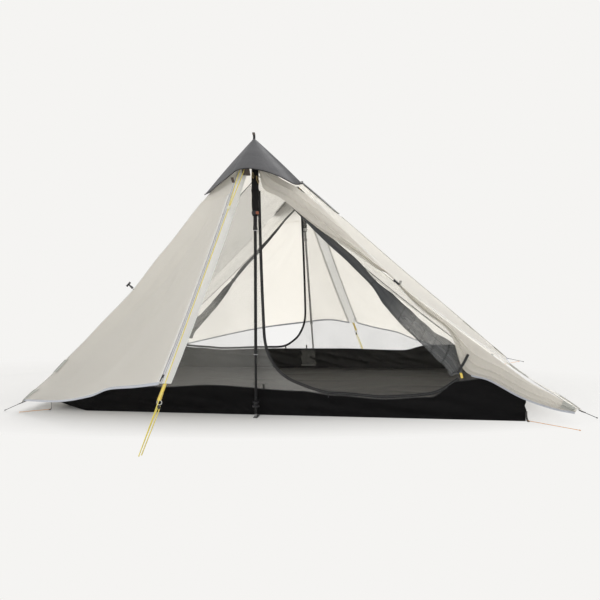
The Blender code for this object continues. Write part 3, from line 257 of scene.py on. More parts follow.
# Small parts
PROP_AT = (-0.078, -0.673, 1.083)
PROP_RISE = (0.0, -0.68, 0.73)
PROP_LENGTH = 0.026
BROW_FLAP = ((-0.020, -0.678, 1.150), (-0.021, -0.668, 1.136), (-0.022, -0.655, 1.113))
TOGGLE_SHARES = {"front_left": 0.485, "front_right": 0.452}
TIE_BACK_END = ((0.015, -0.004, -0.006), (0.019, -0.008, -0.018), (0.017, -0.008, -0.032))
PATCH_LIFT = 0.003
SEAM_ROOM = 0.0065
MID_PATCH = (0.79, 0.845)
CORNER_PATCH = (0.935, 0.992)
PEAK_LOOPS = (((-0.006, -0.612, 1.135), (-0.003, -0.613, 1.107)),
              ((0.012, -0.612, 1.118), (0.022, -0.613, 1.082)))
SLIDER_BRIDGE = ((-0.0055, 0.001), (-0.004, 0.0026), (0.0, 0.0032), (0.004, 0.0026),
                 (0.0055, 0.001))


# Points and lines

def on_side(point, side):
    """The point itself in front, or turned half a turn about Z for the back."""
    return Vector((side * point[0], side * point[1], point[2]))


def turned(points, side):
    """The points themselves in front, or turned half a turn for the back."""
    return [on_side(point, side) for point in points]


def moved(points, shift):
    """Points all moved by one vector."""
    return [point + shift for point in points]


def differences(points, bases):
    """The vector from each base to its point."""
    return [point - base for point, base in zip(points, bases)]


def shares(start, end, count):
    """Evenly spaced numbers from one value to another."""
    return [start + (end - start) * step / (count - 1) for step in range(count)]


def arch(share):
    """A rise from 0 to 1 in the middle and back."""
    return 4 * share * (1 - share)


def dome(down, along):
    """A rise from 0 at the edges of a sheet to 1 in its middle."""
    return sin(pi * down) * sin(pi * along)


def straight(start, end, count, sag=ORIGIN):
    """Points from one place to another, sagging by a vector in the middle."""
    return [start.lerp(end, share) + sag * arch(share) for share in shares(0.0, 1.0, count)]


def reach_along(points):
    """The distance along a line at each of its points."""
    reach = [0.0]
    for before, after in zip(points, points[1:]):
        reach.append(reach[-1] + (after - before).length)
    return reach


def length_of(points):
    """The length of a line of points."""
    return reach_along(points)[-1]


def spaced(points, count):
    """Points at even distances along a line of many points."""
    reach = reach_along(points)
    result = []
    place = 0
    for step in range(count):
        wanted = reach[-1] * step / (count - 1)
        while place < len(points) - 2 and reach[place + 1] < wanted:
            place += 1
        span = reach[place + 1] - reach[place]
        share = (wanted - reach[place]) / span if span else 0.0
        result.append(points[place].lerp(points[place + 1], share))
    return result


def smooth(knots, count):
    """Evenly spaced points along a smooth curve through the knots."""
    knots = [Vector(knot) for knot in knots]
    ends = [2 * knots[0] - knots[1]] + knots + [2 * knots[-1] - knots[-2]]
    steps = 16
    dense = []
    for first, second, third, fourth in zip(ends, ends[1:], ends[2:], ends[3:]):
        for step in range(steps):
            share = step / steps
            linear = (third - first) * share
            square = (2 * first - 5 * second + 4 * third - fourth) * share ** 2
            cube = (3 * second - first - 3 * third + fourth) * share ** 3
            dense.append(0.5 * (2 * second + linear + square + cube))
    dense.append(knots[-1])
    return spaced(dense, count)


def heading(points, place):
    """The direction of a line at one of its points."""
    return (points[min(place + 1, len(points) - 1)] - points[max(place - 1, 0)]).normalized()


def winding(centre, first, second, steps, turns=1, drift=ORIGIN):
    """Points wound about a centre from one arm towards another, drifting by a vector in all."""
    path = []
    for step in range(steps + 1):
        turn = 2 * pi * turns * step / steps
        path.append(centre + drift * (step / steps - 0.5) + first * cos(turn) + second * sin(turn))
    return path


def value_at(pairs, place):
    """A value read from (place, value) pairs, joined by a smooth step between neighbours."""
    if place <= pairs[0][0]:
        return pairs[0][1]
    for (start, low), (end, high) in zip(pairs, pairs[1:]):
        if place <= end:
            share = (place - start) / (end - start)
            return low + (high - low) * share * share * (3 - 2 * share)
    return pairs[-1][1]


def ripple(*place):
    """Smooth noise about zero."""
    return noise.noise(Vector(place))


def crease(value, sharpness=3.0):
    """Turn smooth noise into narrow ridges, from 0 to 1."""
    return max(0.0, 1 - abs(value) * 2) ** sharpness


# Grids of points

def patch(top, bottom, left, right):
    """Rows of a surface stretched between four edges that share their corners."""
    rows = []
    for row_number, (start, end) in enumerate(zip(left, right)):
        down = row_number / (len(left) - 1)
        row = []
        for column, (high, low) in enumerate(zip(top, bottom)):
            along = column / (len(top) - 1)
            corners = top[0].lerp(top[-1], along).lerp(bottom[0].lerp(bottom[-1], along), down)
            row.append(start.lerp(end, along) + high.lerp(low, down) - corners)
        rows.append(row)
    return rows


def normals_of(rows, loop=False):
    """The direction square to a grid at each of its points."""
    result = []
    last = len(rows[0]) - 1
    for row, line in enumerate(rows):
        above = rows[max(row - 1, 0)]
        below = rows[min(row + 1, len(rows) - 1)]
        normals = []
        for column in range(len(line)):
            before = (column - 1) % (last + 1) if loop else max(column - 1, 0)
            after = (column + 1) % (last + 1) if loop else min(column + 1, last)
            square = (below[column] - above[column]).cross(line[after] - line[before])
            normals.append(square.normalized())
        result.append(normals)
    return result


def shifted(rows, height, towards=None, loop=False):
    """Shift a grid along its normals by height(down, along, point), facing a point if given."""
    result = []
    for row, (line, normals) in enumerate(zip(rows, normals_of(rows, loop))):
        down = row / (len(rows) - 1)
        new = []
        for column, (point, normal) in enumerate(zip(line, normals)):
            along = column / (len(line) - 1)
            if towards is not None and normal.dot(towards - point) < 0:
                normal = -normal
            new.append(point + normal * height(down, along, point))
        result.append(new)
    return result


def grid_uv(rows):
    """The distances across and down a grid, in metres, at each of its points."""
    across = []
    for line in rows:
        reach = reach_along(line)
        across.append([value - reach[-1] / 2 for value in reach])
    middle = len(rows[0]) // 2
    return across, reach_along([line[middle] for line in rows])


def area_of(rows):
    """The area of a grid of points."""
    total = 0.0
    for high, low in zip(rows, rows[1:]):
        for place in range(len(high) - 1):
            first = high[place + 1] - low[place]
            second = low[place + 1] - high[place]
            total += first.cross(second).length / 2
    return total


def cut_size(rows):
    """The width and length that a sheet is cut from, along and square to its longest line."""
    widest = max(rows + [list(column) for column in zip(*rows)], key=length_of)
    start = widest[0]
    along = (widest[-1] - start).normalized()
    reach = [(point - start).dot(along) for line in rows for point in line]
    square = [(point - start - along * (point - start).dot(along)).length
              for line in rows for point in line]
    width = max(max(reach) - min(reach), length_of(widest))
    return width, max(max(square), area_of(rows) / width)


# Meshes

def linked(name, data):
    """A new object in the scene."""
    item = bpy.data.objects.new(name, data)
    bpy.context.collection.objects.link(item)
    return item


def piece(name, mesh, paint, body="tent", node=None, slot=None):
    """Turn a bmesh into a shaded object that rides on a body and may replace a CAD node."""
    bmesh.ops.recalc_face_normals(mesh, faces=mesh.faces)
    data = bpy.data.meshes.new(name)
    mesh.to_mesh(data)
    mesh.free()
    data.shade_smooth()
    data.set_sharp_from_angle(angle=radians(50))
    data.materials.append(paint.material)
    item = linked(name, data)
    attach(item, body)
    if node:
        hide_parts(node)
    return item


def add_layer(mesh, rows, reverse=False, loop=False, uv_of=None):
    """Add one face layer over a grid, with its UV map in metres, and return its vertices."""
    uv_layer = mesh.loops.layers.uv.verify()
    across, down = grid_uv(uv_of or rows)
    verts = [[mesh.verts.new(point) for point in line] for line in rows]
    width = len(rows[0])
    for row in range(len(rows) - 1):
        for column in range(width if loop else width - 1):
            after = (column + 1) % width
            places = [(row, column), (row + 1, column), (row + 1, after), (row, after)]
            if reverse:
                places.reverse()
            face = mesh.faces.new([verts[r][c] for r, c in places])
            for corner, (r, c) in zip(face.loops, places):
                wide = across[r][c]
                if loop and after == 0 and c == 0:
                    wide = across[r][-1] + (rows[r][0] - rows[r][-1]).length
                corner[uv_layer].uv = (wide, down[r])
    return verts


def add_solid(mesh, rows):
    """Add a closed solid whose rings are the lines of a grid."""
    verts = add_layer(mesh, rows, loop=True)
    mesh.faces.new(verts[0])
    mesh.faces.new(verts[-1])


def join(mesh, first, second, loop):
    """Join two lines of vertices with faces."""
    count = len(first)
    for place in range(count if loop else count - 1):
        after = (place + 1) % count
        mesh.faces.new((first[place], first[after], second[after], second[place]))


def sheet_mesh(rows, thickness, loop=False):
    """A closed thin sheet on both sides of a grid of points."""
    mesh = bmesh.new()
    normals = normals_of(rows, loop)
    layers = []
    for sign in (0.5, -0.5):
        layer = [[point + normal * thickness * sign for point, normal in zip(line, square)]
                 for line, square in zip(rows, normals)]
        layers.append(add_layer(mesh, layer, sign < 0, loop, rows))
    outer, inner = layers
    rims = [(outer[0], inner[0]), (inner[-1], outer[-1])]
    if not loop:
        rims.append(([line[0] for line in inner], [line[0] for line in outer]))
        rims.append(([line[-1] for line in outer], [line[-1] for line in inner]))
    for first, second in rims:
        join(mesh, first, second, loop)
    return mesh


def cloth(name, rows, paint, node, thickness=CLOTH, body="tent"):
    """One sheet of cloth over a grid, in place of a CAD node where one is named."""
    item = piece(name, sheet_mesh(rows, thickness), paint, body, node)
    cut_size(rows)
    area_of(rows)


def tape(name, path, across, width, paint, thickness=0.0012, **more):
    """A flat tape or webbing along a path, with its width along one or more directions."""
    if isinstance(across, Vector):
        across = [across] * len(path)
    rows = [[point + direction.normalized() * width * share for share in (-0.5, 0.0, 0.5)]
            for point, direction in zip(path, across)]
    return piece(name, sheet_mesh(rows, thickness), paint, **more)


def turning_frames(path):
    """Two directions square to a path at each of its points, without twist."""
    square = (path[1] - path[0]).normalized().orthogonal().normalized()
    frames = []
    for place in range(len(path)):
        along = heading(path, place)
        square = (square - along * square.dot(along)).normalized()
        frames.append((square, along.cross(square)))
    return frames


def add_tube(mesh, path, radii, sides=10, flat=1.0):
    """Add a round closed tube along a path, with a radius at each of its points."""
    rows = []
    for point, radius, (first, second) in zip(path, radii, turning_frames(path)):
        rows.append([point + first * radius * cos(2 * pi * side / sides)
                     + second * radius * flat * sin(2 * pi * side / sides)
                     for side in range(sides)])
    add_solid(mesh, rows)


def tube(name, path, radius, paint, sides=10, flat=1.0, **more):
    """A round tube along a path, of one radius or one for each point."""
    radii = radius if isinstance(radius, list) else [radius] * len(path)
    mesh = bmesh.new()
    add_tube(mesh, path, radii, sides, flat)
    return piece(name, mesh, paint, **more)


# Materials

class Amount:
    """A number that varies over a surface. Maths on it adds Math nodes."""

    def __init__(self, paint, socket):
        self.maths = paint.maths
        self.socket = socket

    def __add__(self, other):
        return self.maths("ADD", self, other)

    def __sub__(self, other):
        return self.maths("SUBTRACT", self, other)

    def __rsub__(self, other):
        return self.maths("SUBTRACT", other, self)

    def __mul__(self, other):
        return self.maths("MULTIPLY", self, other)

    def __lt__(self, other):
        return self.maths("LESS_THAN", self, other)

    def zigzag(self, span):
        """Up and down between 0 and a span."""
        return self.maths("PINGPONG", self, span)

    def wave(self):
        """The sine."""
        return self.maths("SINE", self)

    def limited(self):
        """Kept between 0 and 1."""
        return self.maths("MINIMUM", self.maths("MAXIMUM", self, 0.0), 1.0)


class Nodes:
    """A node tree with one way to add a node."""

    def __init__(self, tree):
        self.tree = tree

    def node(self, kind, settings=None, values=None):
        """Add a node with its settings, then the values or links of its sockets."""
        item = self.tree.nodes.new(kind)
        for key, setting in (settings or {}).items():
            setattr(item, key, setting)
        for key, value in (values or {}).items():
            source = value.socket if isinstance(value, Amount) else value
            if isinstance(source, bpy.types.NodeSocket):
                self.tree.links.new(source, item.inputs[key])
            else:
                item.inputs[key].default_value = source
        return item

    def mix_shaders(self, share, first, second, output):
        """Send a mix of two shaders to an output node."""
        mixer = self.node("ShaderNodeMixShader", values={
            0: share, 1: first.outputs[0], 2: second.outputs[0]})
        self.tree.links.new(mixer.outputs[0], self.tree.nodes[output].inputs["Surface"])


class Paint(Nodes):
    """One material's nodes, with a slot name that it keeps."""

    def __init__(self, name, slot, colour, roughness, sheen=0.0, specular=0.5):
        self.material = bpy.data.materials.new(name)
        self.material.use_nodes = True
        super().__init__(self.material.node_tree)
        self.slot = slot
        self.shader = self.tree.nodes["Principled BSDF"]
        self.colour = colour
        self.shader.inputs["Base Color"].default_value = (*colour, 1.0)
        self.shader.inputs["Roughness"].default_value = roughness
        self.shader.inputs["Sheen Weight"].default_value = sheen
        self.shader.inputs["Specular IOR Level"].default_value = specular

    def maths(self, operation, first, second=0.0):
        """One Math node on this material's numbers."""
        node = self.node("ShaderNodeMath", {"operation": operation}, {0: first, 1: second})
        return Amount(self, node.outputs[0])

    def place(self, kind="UV"):
        """The numbers of a place on the surface: across, down and a third."""
        source = self.node("ShaderNodeTexCoord").outputs[kind]
        split = self.node("ShaderNodeSeparateXYZ", values={0: source})
        return [Amount(self, output) for output in split.outputs]

    def cloud(self, scale, detail=3.0, kind="Object", stretch=(1.0, 1.0, 1.0)):
        """Noise from 0 to 1 at a scale, stretched along the axes."""
        source = self.node("ShaderNodeTexCoord").outputs[kind]
        spread = self.node("ShaderNodeMapping", values={"Vector": source, "Scale": stretch})
        values = {"Vector": spread.outputs[0], "Scale": scale, "Detail": detail}
        return Amount(self, self.node("ShaderNodeTexNoise", values=values).outputs["Fac"])

    def shade(self, amount, colour):
        """Blend the base colour towards another by an amount."""
        target = self.shader.inputs["Base Color"]
        first = target.links[0].from_socket if target.links else (*self.colour, 1.0)
        mixer = self.node("ShaderNodeMix", {"data_type": "RGBA"},
                          {0: amount, 6: first, 7: (*colour, 1.0)})
        self.tree.links.new(mixer.outputs[2], target)

    def vary(self, name, amount):
        """Let one of the surface's values vary."""
        self.tree.links.new(amount.socket, self.shader.inputs[name])

    def bump(self, amount, depth):
        """Raise the surface by an amount times a depth in metres."""
        values = {"Strength": 1.0, "Distance": depth, "Height": amount}
        raised = self.node("ShaderNodeBump", values=values)
        self.tree.links.new(raised.outputs[0], self.shader.inputs["Normal"])


def fade_to_sky(paint):
    """Blend a floor into the backdrop away from the tent, where a camera sees it."""
    along, depth, _ = paint.place("Object")
    along = (along - FADE_CENTRE[0]) * FADE_STRETCH
    depth = depth - FADE_CENTRE[1]
    reach = paint.maths("SQRT", along * along + depth * depth)
    reach = reach + along * (FADE_TILT / FADE_STRETCH)
    blend = ((reach - FADE[0]) * (1 / (FADE[1] - FADE[0]))).limited()
    seen = Amount(paint, paint.node("ShaderNodeLightPath").outputs["Is Camera Ray"])
    sky = paint.node("ShaderNodeEmission", values={"Color": SKY_COLOUR, "Strength": 1.0})
    paint.mix_shaders(blend * seen, paint.shader, sky, "Material Output")


def cloth_paint(name, slot, colour, dark, through, through_colour, specular=0.5):
    """Thin coated cloth with a grid of thicker threads, and light that passes through it."""
    paint = Paint(name, slot, colour, 0.62, specular=specular)
    pitch = 0.006
    across, down, _ = paint.place()
    grid = (across.zigzag(pitch / 2) < pitch * 0.06) + (down.zigzag(pitch / 2) < pitch * 0.06)
    mottle = paint.cloud(7.0, 4.0)
    paint.shade((grid.limited() * 0.35 + mottle * 0.35).limited(), dark)
    wrinkle = paint.cloud(9.0, 5.0, stretch=(1.0, 1.0, 1.6))
    paint.bump(wrinkle * 4.0 + grid.limited() * 0.05, 0.0022)
    light = paint.node("ShaderNodeBsdfTranslucent", values={"Color": (*through_colour, 1.0)})
    paint.mix_shaders(through, paint.shader, light, "Material Output")
    return paint


def weave_paint(name, slot, colour, dark, pitch=0.0022):
    """Woven webbing with its threads across."""
    paint = Paint(name, slot, colour, 0.75, sheen=0.2)
    across, down, _ = paint.place()
    ribs = (down * (2 * pi / pitch)).wave() * 0.5 + 0.5
    cords = (across * (4 * pi / pitch)).wave() * 0.5 + 0.5
    threads = ribs * 0.6 + cords * 0.4
    paint.shade((1 - threads) * 0.6, dark)
    paint.bump(threads, 0.0004)
    return paint


def braid_paint(name, slot, colour, fleck):
    """Braided cord with crossing strands and a fleck of a second colour."""
    paint = Paint(name, slot, colour, 0.6, sheen=0.2)
    across, down, _ = paint.place()
    turn = 2 * pi / 0.005
    strands = ((down * turn + across * (3 * turn)).wave()
               * (down * turn - across * (3 * turn)).wave())
    paint.shade((strands * 0.5 + 0.2).limited(), fleck)
    paint.bump(strands, 0.0003)
    return paint


def mesh_paint(name, slot, colour, cover):
    """Fine insect mesh: thin threads that let most of the light pass."""
    paint = Paint(name, slot, colour, 0.8, specular=0.2)
    across, down, _ = paint.place()
    turn = 2 * pi / 0.004
    net = (across * turn).wave() * (down * turn).wave()
    cloud = paint.cloud(5.0, 2.0)
    paint.vary("Alpha", (net * 0.04 + (cloud - 0.5) * 0.1 + cover).limited())
    paint.bump(net, 0.0002)
    return paint


def roll_paint():
    """Mesh rolled in many layers at its top and in few towards its foot, with folds along it. Its
    dark grey is painted shade between the layers, painted lighter along the folds and towards the
    loose foot.
    """
    # Painted shade: the roll's dark grey stands for the shade between its layers
    paint = Paint("rolled mesh", "mesh", (0.055, 0.057, 0.06), 0.85, specular=0.15)
    across, down, _ = paint.place()
    folds = paint.cloud(60.0, 3.0, "UV", (1.0, 0.06, 1.0))
    loose = ((down - 0.74) * 6.0).limited()
    # Painted light: lighter along the folds and where the foot hangs loose
    paint.shade((folds * 0.7 + loose * 0.5 - 0.2).limited(), (0.20, 0.205, 0.205))
    # Dark diagonal lines over the loose part
    dark_lines = (down + across * 0.35).zigzag(0.033) < 0.0035
    paint.shade(dark_lines * loose * 0.75, (0.05, 0.052, 0.055))
    paint.vary("Alpha", (1.0 - loose * (0.62 - folds * 0.5)).limited())
    paint.bump(folds, 0.004)
    return paint


def grain_paint(name, slot, colour, other, roughness, scale, depth, specular=0.5):
    """Moulded plastic, foam or painted metal with a fine grain."""
    paint = Paint(name, slot, colour, roughness, specular=specular)
    grain = paint.cloud(scale, 4.0)
    paint.shade(grain * 0.5, other)
    paint.vary("Roughness", (grain - 0.5) * 0.25 + roughness)
    paint.bump(grain, depth)
    return paint


FLY = cloth_paint("outer cloth", "fly_cloth", (0.80, 0.785, 0.75), (0.71, 0.695, 0.66), 0.68,
                  (1.0, 0.985, 0.95))
# The gathered open door: a darker, beiger copy of the outer cloth as painted shade of its folds,
# which also lets less light through
SHADED_GATHERED = cloth_paint("gathered outer cloth", "fly_cloth", (0.70, 0.675, 0.625),
                       (0.58, 0.555, 0.51), 0.42, (0.95, 0.93, 0.88))
CAP = cloth_paint("cap cloth", "cap_cloth", (0.105, 0.105, 0.11), (0.07, 0.07, 0.075), 0.1,
                  (0.3, 0.3, 0.3))
STRIP = cloth_paint("zip band cloth", "strip_cloth", (0.93, 0.93, 0.92), (0.87, 0.87, 0.86), 0.5,
                    (1.0, 1.0, 0.99))
PATCH = cloth_paint("corner patch cloth", "fly_cloth", (0.60, 0.605, 0.57), (0.53, 0.535, 0.50),
                    0.4, (0.66, 0.67, 0.62))
BINDING = weave_paint("hem binding", "webbing_black", (0.50, 0.52, 0.57), (0.36, 0.38, 0.43),
                      0.003)
SEAM = weave_paint("seam tape", "fly_cloth", (0.74, 0.725, 0.69), (0.62, 0.61, 0.58), 0.004)
# Painted shade: the tub's black is painted darker than the floor cloth's, for the shade on the
# front wall
TUB = cloth_paint("tub cloth", "tub_cloth", (0.0045, 0.0045, 0.005), (0.010, 0.0095, 0.0095), 0.0,
                  (0.0, 0.0, 0.0), 0.1)
# Painted light: lighter from the front wall to the back wall, where the light inside falls
TUB.shade(((TUB.place("Object")[1] + 0.35) * 1.2).limited(), (0.034, 0.033, 0.032))
FLOOR_CLOTH = cloth_paint("tub floor cloth", "tub_cloth", (0.040, 0.039, 0.036),
                          (0.028, 0.027, 0.025), 0.0, (0.0, 0.0, 0.0))
MESH = mesh_paint("insect mesh", "mesh", (0.62, 0.62, 0.60), 0.13)
ROLL = roll_paint()
LIGHT_MESH = mesh_paint("pocket mesh", "mesh_light", (0.16, 0.16, 0.15), 0.42)
POCKET_HEM = weave_paint("pocket hem", "webbing_black", (0.13, 0.13, 0.125), (0.07, 0.07, 0.07))
WEB_BLACK = weave_paint("black webbing", "webbing_black", (0.02, 0.02, 0.022),
                        (0.008, 0.008, 0.009))
WEB_YELLOW = weave_paint("yellow webbing", "webbing_yellow", (0.88, 0.68, 0.14),
                         (0.70, 0.48, 0.08))
WEB_TAN = weave_paint("tan tape", "webbing_tan", (0.48, 0.36, 0.15), (0.30, 0.22, 0.09))
WEB_BROWN = weave_paint("brown webbing", "webbing_tan", (0.10, 0.075, 0.06), (0.05, 0.04, 0.035))
CORD_YELLOW = braid_paint("yellow cord", "cord_yellow", (0.95, 0.78, 0.10), (0.98, 0.92, 0.42))
CORD_ORANGE = braid_paint("orange cord", "cord_orange", (0.85, 0.36, 0.08), (0.95, 0.62, 0.30))
CORD_BLACK = braid_paint("black cord", "cord_black", (0.03, 0.03, 0.035), (0.12, 0.12, 0.13))
CORD_GREY = braid_paint("grey cord", "cord_black", (0.34, 0.33, 0.31), (0.62, 0.60, 0.56))
CORD_PALE = braid_paint("pale knot", "knot_white", (0.95, 0.93, 0.72), (0.98, 0.97, 0.90))
COIL = grain_paint("zip coil", "zip", (0.03, 0.03, 0.032), (0.06, 0.06, 0.064), 0.45, 300.0,
                   0.0002)
COIL_PALE = grain_paint("pale zip coil", "zip", (0.46, 0.47, 0.56), (0.34, 0.35, 0.43), 0.5,
                        300.0, 0.0002)
THREAD = grain_paint("sewing thread", "fly_cloth", (0.70, 0.69, 0.67), (0.55, 0.54, 0.53), 0.7,
                     400.0, 0.0001)
THREAD_DARK = grain_paint("dark sewing thread", "cap_cloth", (0.10, 0.10, 0.105),
                          (0.05, 0.05, 0.053), 0.7, 400.0, 0.0001)
PLASTIC = grain_paint("black moulding", "hardware_black", (0.022, 0.022, 0.024),
                      (0.04, 0.04, 0.043), 0.5, 140.0, 0.0004)
ORANGE = grain_paint("orange moulding", "hardware_black", (0.40, 0.13, 0.07), (0.30, 0.09, 0.05),
                     0.5, 120.0, 0.0003)
FOAM = grain_paint("grip foam", "grip_foam", (0.012, 0.012, 0.012), (0.024, 0.023, 0.022), 0.9,
                   700.0, 0.0008, 0.2)
TUBE = grain_paint("pole tube", None, (0.012, 0.012, 0.013), (0.02, 0.02, 0.022), 0.42, 30.0,
                   0.0001, 0.25)
TUBE_GREY = grain_paint("grey pole tube", None, (0.25, 0.25, 0.25), (0.18, 0.18, 0.18), 0.42,
                        30.0, 0.0001)
RING = grain_paint("pale ring", "hardware_black", (0.55, 0.55, 0.55), (0.42, 0.42, 0.42), 0.35,
                   60.0, 0.0001)
STEEL = grain_paint("pole tip steel", "hardware_black", (0.35, 0.35, 0.36), (0.25, 0.25, 0.26),
                    0.3, 50.0, 0.0001)


# Repeats that follow a line

class Pattern(Nodes):
    """A node tree that lays one short rod after another along the lines of a mesh."""

    SIZES = {"Spacing": 0.008, "Rod length": 0.0045, "Rod radius": 0.0004, "Unevenness": 0.1}

    def __init__(self, paint):
        name = "rods of " + paint.material.name
        super().__init__(bpy.data.node_groups.new(name, "GeometryNodeTree"))
        sockets = self.tree.interface
        sockets.new_socket("Lines", in_out="INPUT", socket_type="NodeSocketGeometry")
        for size_name, size in self.SIZES.items():
            socket = sockets.new_socket(size_name, in_out="INPUT", socket_type="NodeSocketFloat")
            socket.default_value = size
        socket = sockets.new_socket("Seed", in_out="INPUT", socket_type="NodeSocketInt")
        socket.default_value = 4
        sockets.new_socket("Rods", in_out="OUTPUT", socket_type="NodeSocketGeometry")
        given = self.node("NodeGroupInput").outputs
        curve = self.node("GeometryNodeMeshToCurve", values={"Mesh": given["Lines"]}).outputs[0]
        points = self.node("GeometryNodeResampleCurve", {"mode": "LENGTH"},
                           {"Curve": curve, "Length": given["Spacing"]}).outputs[0]
        rod = self.node("GeometryNodeMeshCylinder", {"fill_type": "NGON"}, {
            "Vertices": 6, "Radius": given["Rod radius"], "Depth": given["Rod length"]}).outputs[0]
        along = self.node("GeometryNodeInputTangent").outputs[0]
        turn = self.node("FunctionNodeAlignRotationToVector", {"axis": "Z"}, {"Vector": along})
        least = self.node("ShaderNodeMath", {"operation": "SUBTRACT"},
                          {0: 1.0, 1: given["Unevenness"]}).outputs[0]
        size = self.node("FunctionNodeRandomValue", {"data_type": "FLOAT"},
                         {2: least, 3: 1.0, "Seed": given["Seed"]}).outputs[1]
        rods = self.node("GeometryNodeInstanceOnPoints", values={
            "Points": points, "Instance": rod, "Rotation": turn.outputs[0], "Scale": size})
        real = self.node("GeometryNodeRealizeInstances", values={0: rods.outputs[0]}).outputs[0]
        finished = self.node("GeometryNodeSetMaterial",
                             values={"Geometry": real, "Material": paint.material}).outputs[0]
        self.node("NodeGroupOutput", values={0: finished})

    def along(self, name, paths, sizes, body, slot):
        """Lay the rods along paths, as one plain mesh that rides on a body."""
        data = bpy.data.meshes.new(name)
        edges = []
        start = 0
        for path in paths:
            edges += [(start + step, start + step + 1) for step in range(len(path) - 1)]
            start += len(path)
        data.from_pydata([point for path in paths for point in path], edges, [])
        item = linked(name, data)
        modifier = item.modifiers.new("rods", "NODES")
        modifier.node_group = self.tree
        for socket in self.tree.interface.items_tree:
            if socket.in_out == "INPUT" and socket.name in sizes:
                modifier[socket.identifier] = sizes[socket.name]
        ready = item.evaluated_get(bpy.context.evaluated_depsgraph_get())
        plain = bpy.data.meshes.new_from_object(ready)
        item.modifiers.clear()
        item.data = plain
        plain.name = name
        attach(item, body)


PATTERNS = {}


def rods_along(name, paths, paint, sizes, body="tent", slot=None):
    """Rods in one paint along paths, from the tree that is kept for that paint."""
    key = paint.material.name
    if key not in PATTERNS:
        PATTERNS[key] = Pattern(paint)
    PATTERNS[key].along(name, paths, sizes, body, slot or paint.slot)


def stitches(name, paths, paint=THREAD, **more):
    """Rows of sewn stitches."""
    rods_along(name, paths, paint, STITCH, **more)


def coil(name, path, radius, paint):
    """A zip's coil: a thin core with its ribs."""
    tube(name, path, radius * 0.8, paint, 6)
    sizes = {"Spacing": 3.2 * radius, "Rod length": 1.6 * radius, "Rod radius": radius,
             "Unevenness": 0.04}
    rods_along(name + "_ribs", [path], paint, sizes)


# Outer tent

def hip_point(name, share):
    """A point on a hip, at a share of the way from its peak to its corner."""
    peak = Vector((0.0, PEAK_Y if "back" in name else -PEAK_Y, PEAK_HEIGHT))
    point = peak.lerp(Vector(CORNERS[name]), share)
    point.z -= value_at(((0.0, 0.0),) + HIP_DROPS[name] + ((1.0, 0.0),), share)
    return point


def hip_line(name, start, end, count):
    """Points along part of a hip."""
    return [hip_point(name, share) for share in shares(start, end, count)]


def strip_point(share):
    """A point on the middle of the front strip, from the peak to the zip's foot."""
    return Vector(STRIP_TOP).lerp(Vector(STRIP_FOOT), share) + X * STRIP_BOW * arch(share)


def strip_edge(side, offset, start, end, count):
    """Points down the strip at an offset from its middle."""
    return [on_side(strip_point(share) + X * offset, side) for share in shares(start, end, count)]


def end_panel(side_name, outward):
    """One sloping end of the outer tent, tight between its hips, with its hem's binding."""
    front = hip_line("front_" + side_name, 0.0, 1.0, 72)
    back = hip_line("back_" + side_name, 0.0, 1.0, 72)
    for point in (front[0], back[0]):
        point.x += outward * FLY_CLOTH
    ridge = straight(front[0], back[0], 49, Z * -RIDGE_SAG)
    hem = straight(front[-1], back[-1], 49, Vector((-outward * HEM_CUT_IN, 0.0, HEM_RISE)))

    def height(down, along, _):
        fan = ripple(along * 7.0, down * 1.6, 3.0) * 0.004 * sin(pi * along) * down
        return dome(down, along) * END_PANEL_BOW + fan

    rows = shifted(patch(ridge, hem, front, back), height, ORIGIN)
    trim = tape("hem_binding_" + side_name, rows[-1], differences(rows[-1], rows[-3]), HEM_WIDTH,
                BINDING, HEM_THICKNESS)
    stitches("end_stitches_" + side_name,
             [moved(rows[-2], Vector((outward * 0.0022, 0.0, 0.0012)))])
    cloth("outer_end_" + side_name, rows, FLY, "fly_panel_" + side_name)


def door_rows(hip_name, side, offset, hem_knots):
    """The grid of one closed door between its hip, the strip and its hem, with its creases."""
    steps = 61
    outward = Vector((0.0, -side * FLY_CLEARANCE, -FLY_CLEARANCE / 2))
    hip = moved(hip_line(hip_name, HIP_TOP_SHARE, HIP_FOOT_SHARE, 72), outward)
    free = strip_edge(side, offset, DOOR_TOP_SHARE, 1.0, 72)
    top = straight(hip[0], free[0], steps)
    hem = smooth([hip[-1], *hem_knots, free[-1]], steps)

    def height(down, along, _):
        wave = sin(4 * pi * (0.7 * down + along))
        tight = crease(ripple(down * 3.2 + along * 4.5, down * 0.9 - along * 0.7, 2.0))
        small = ripple(down * 11.0 + along * 9.0, down * 2.0, 5.0) * 0.0024
        return dome(down, along) * (DOOR_BOW + DOOR_FOLD * wave + 0.008 * tight + small)

    return shifted(patch(top, hem, hip, free), height, ORIGIN)


def closed_doors():
    """The three closed doors, with bound hems and free edges."""
    beside = STRIP_WIDTH / 2 + ZIP_GAP
    plans = (("front_left", 1, -beside, FRONT_LEFT_HEM),
             ("back_right", -1, -beside, turned(FRONT_LEFT_HEM, -1)),
             ("back_left", -1, beside, BACK_LEFT_HEM))
    for name, side, offset, hem in plans:
        rows = door_rows(name, side, offset, hem)
        body = "door_" + name
        downwards = differences(rows[-1], rows[-3])
        edge = [line[-1] for line in rows]
        inwards = differences([line[-3] for line in rows], edge)
        path = [point + way.normalized() * HEM_WIDTH / 2 for point, way in zip(edge, inwards)]
        trims = [tape("door_hem_" + name, rows[-1], downwards, HEM_WIDTH, BINDING, HEM_THICKNESS,
                      body=body),
                 tape("door_edge_" + name, path, inwards, HEM_WIDTH, SEAM, 0.0026, body=body)]
        out = Y * (-side * 0.0018)
        sewn = [[point + way.normalized() * reach + out for point, way in zip(line, ways)]
                for line, ways, reach in ((edge, inwards, 0.010), (rows[-1], downwards, -0.004))]
        stitches("door_stitches_" + name, sewn, body=body)
        cloth("outer_door_" + name, rows, FLY, "fly_door_" + name,
              body=body)


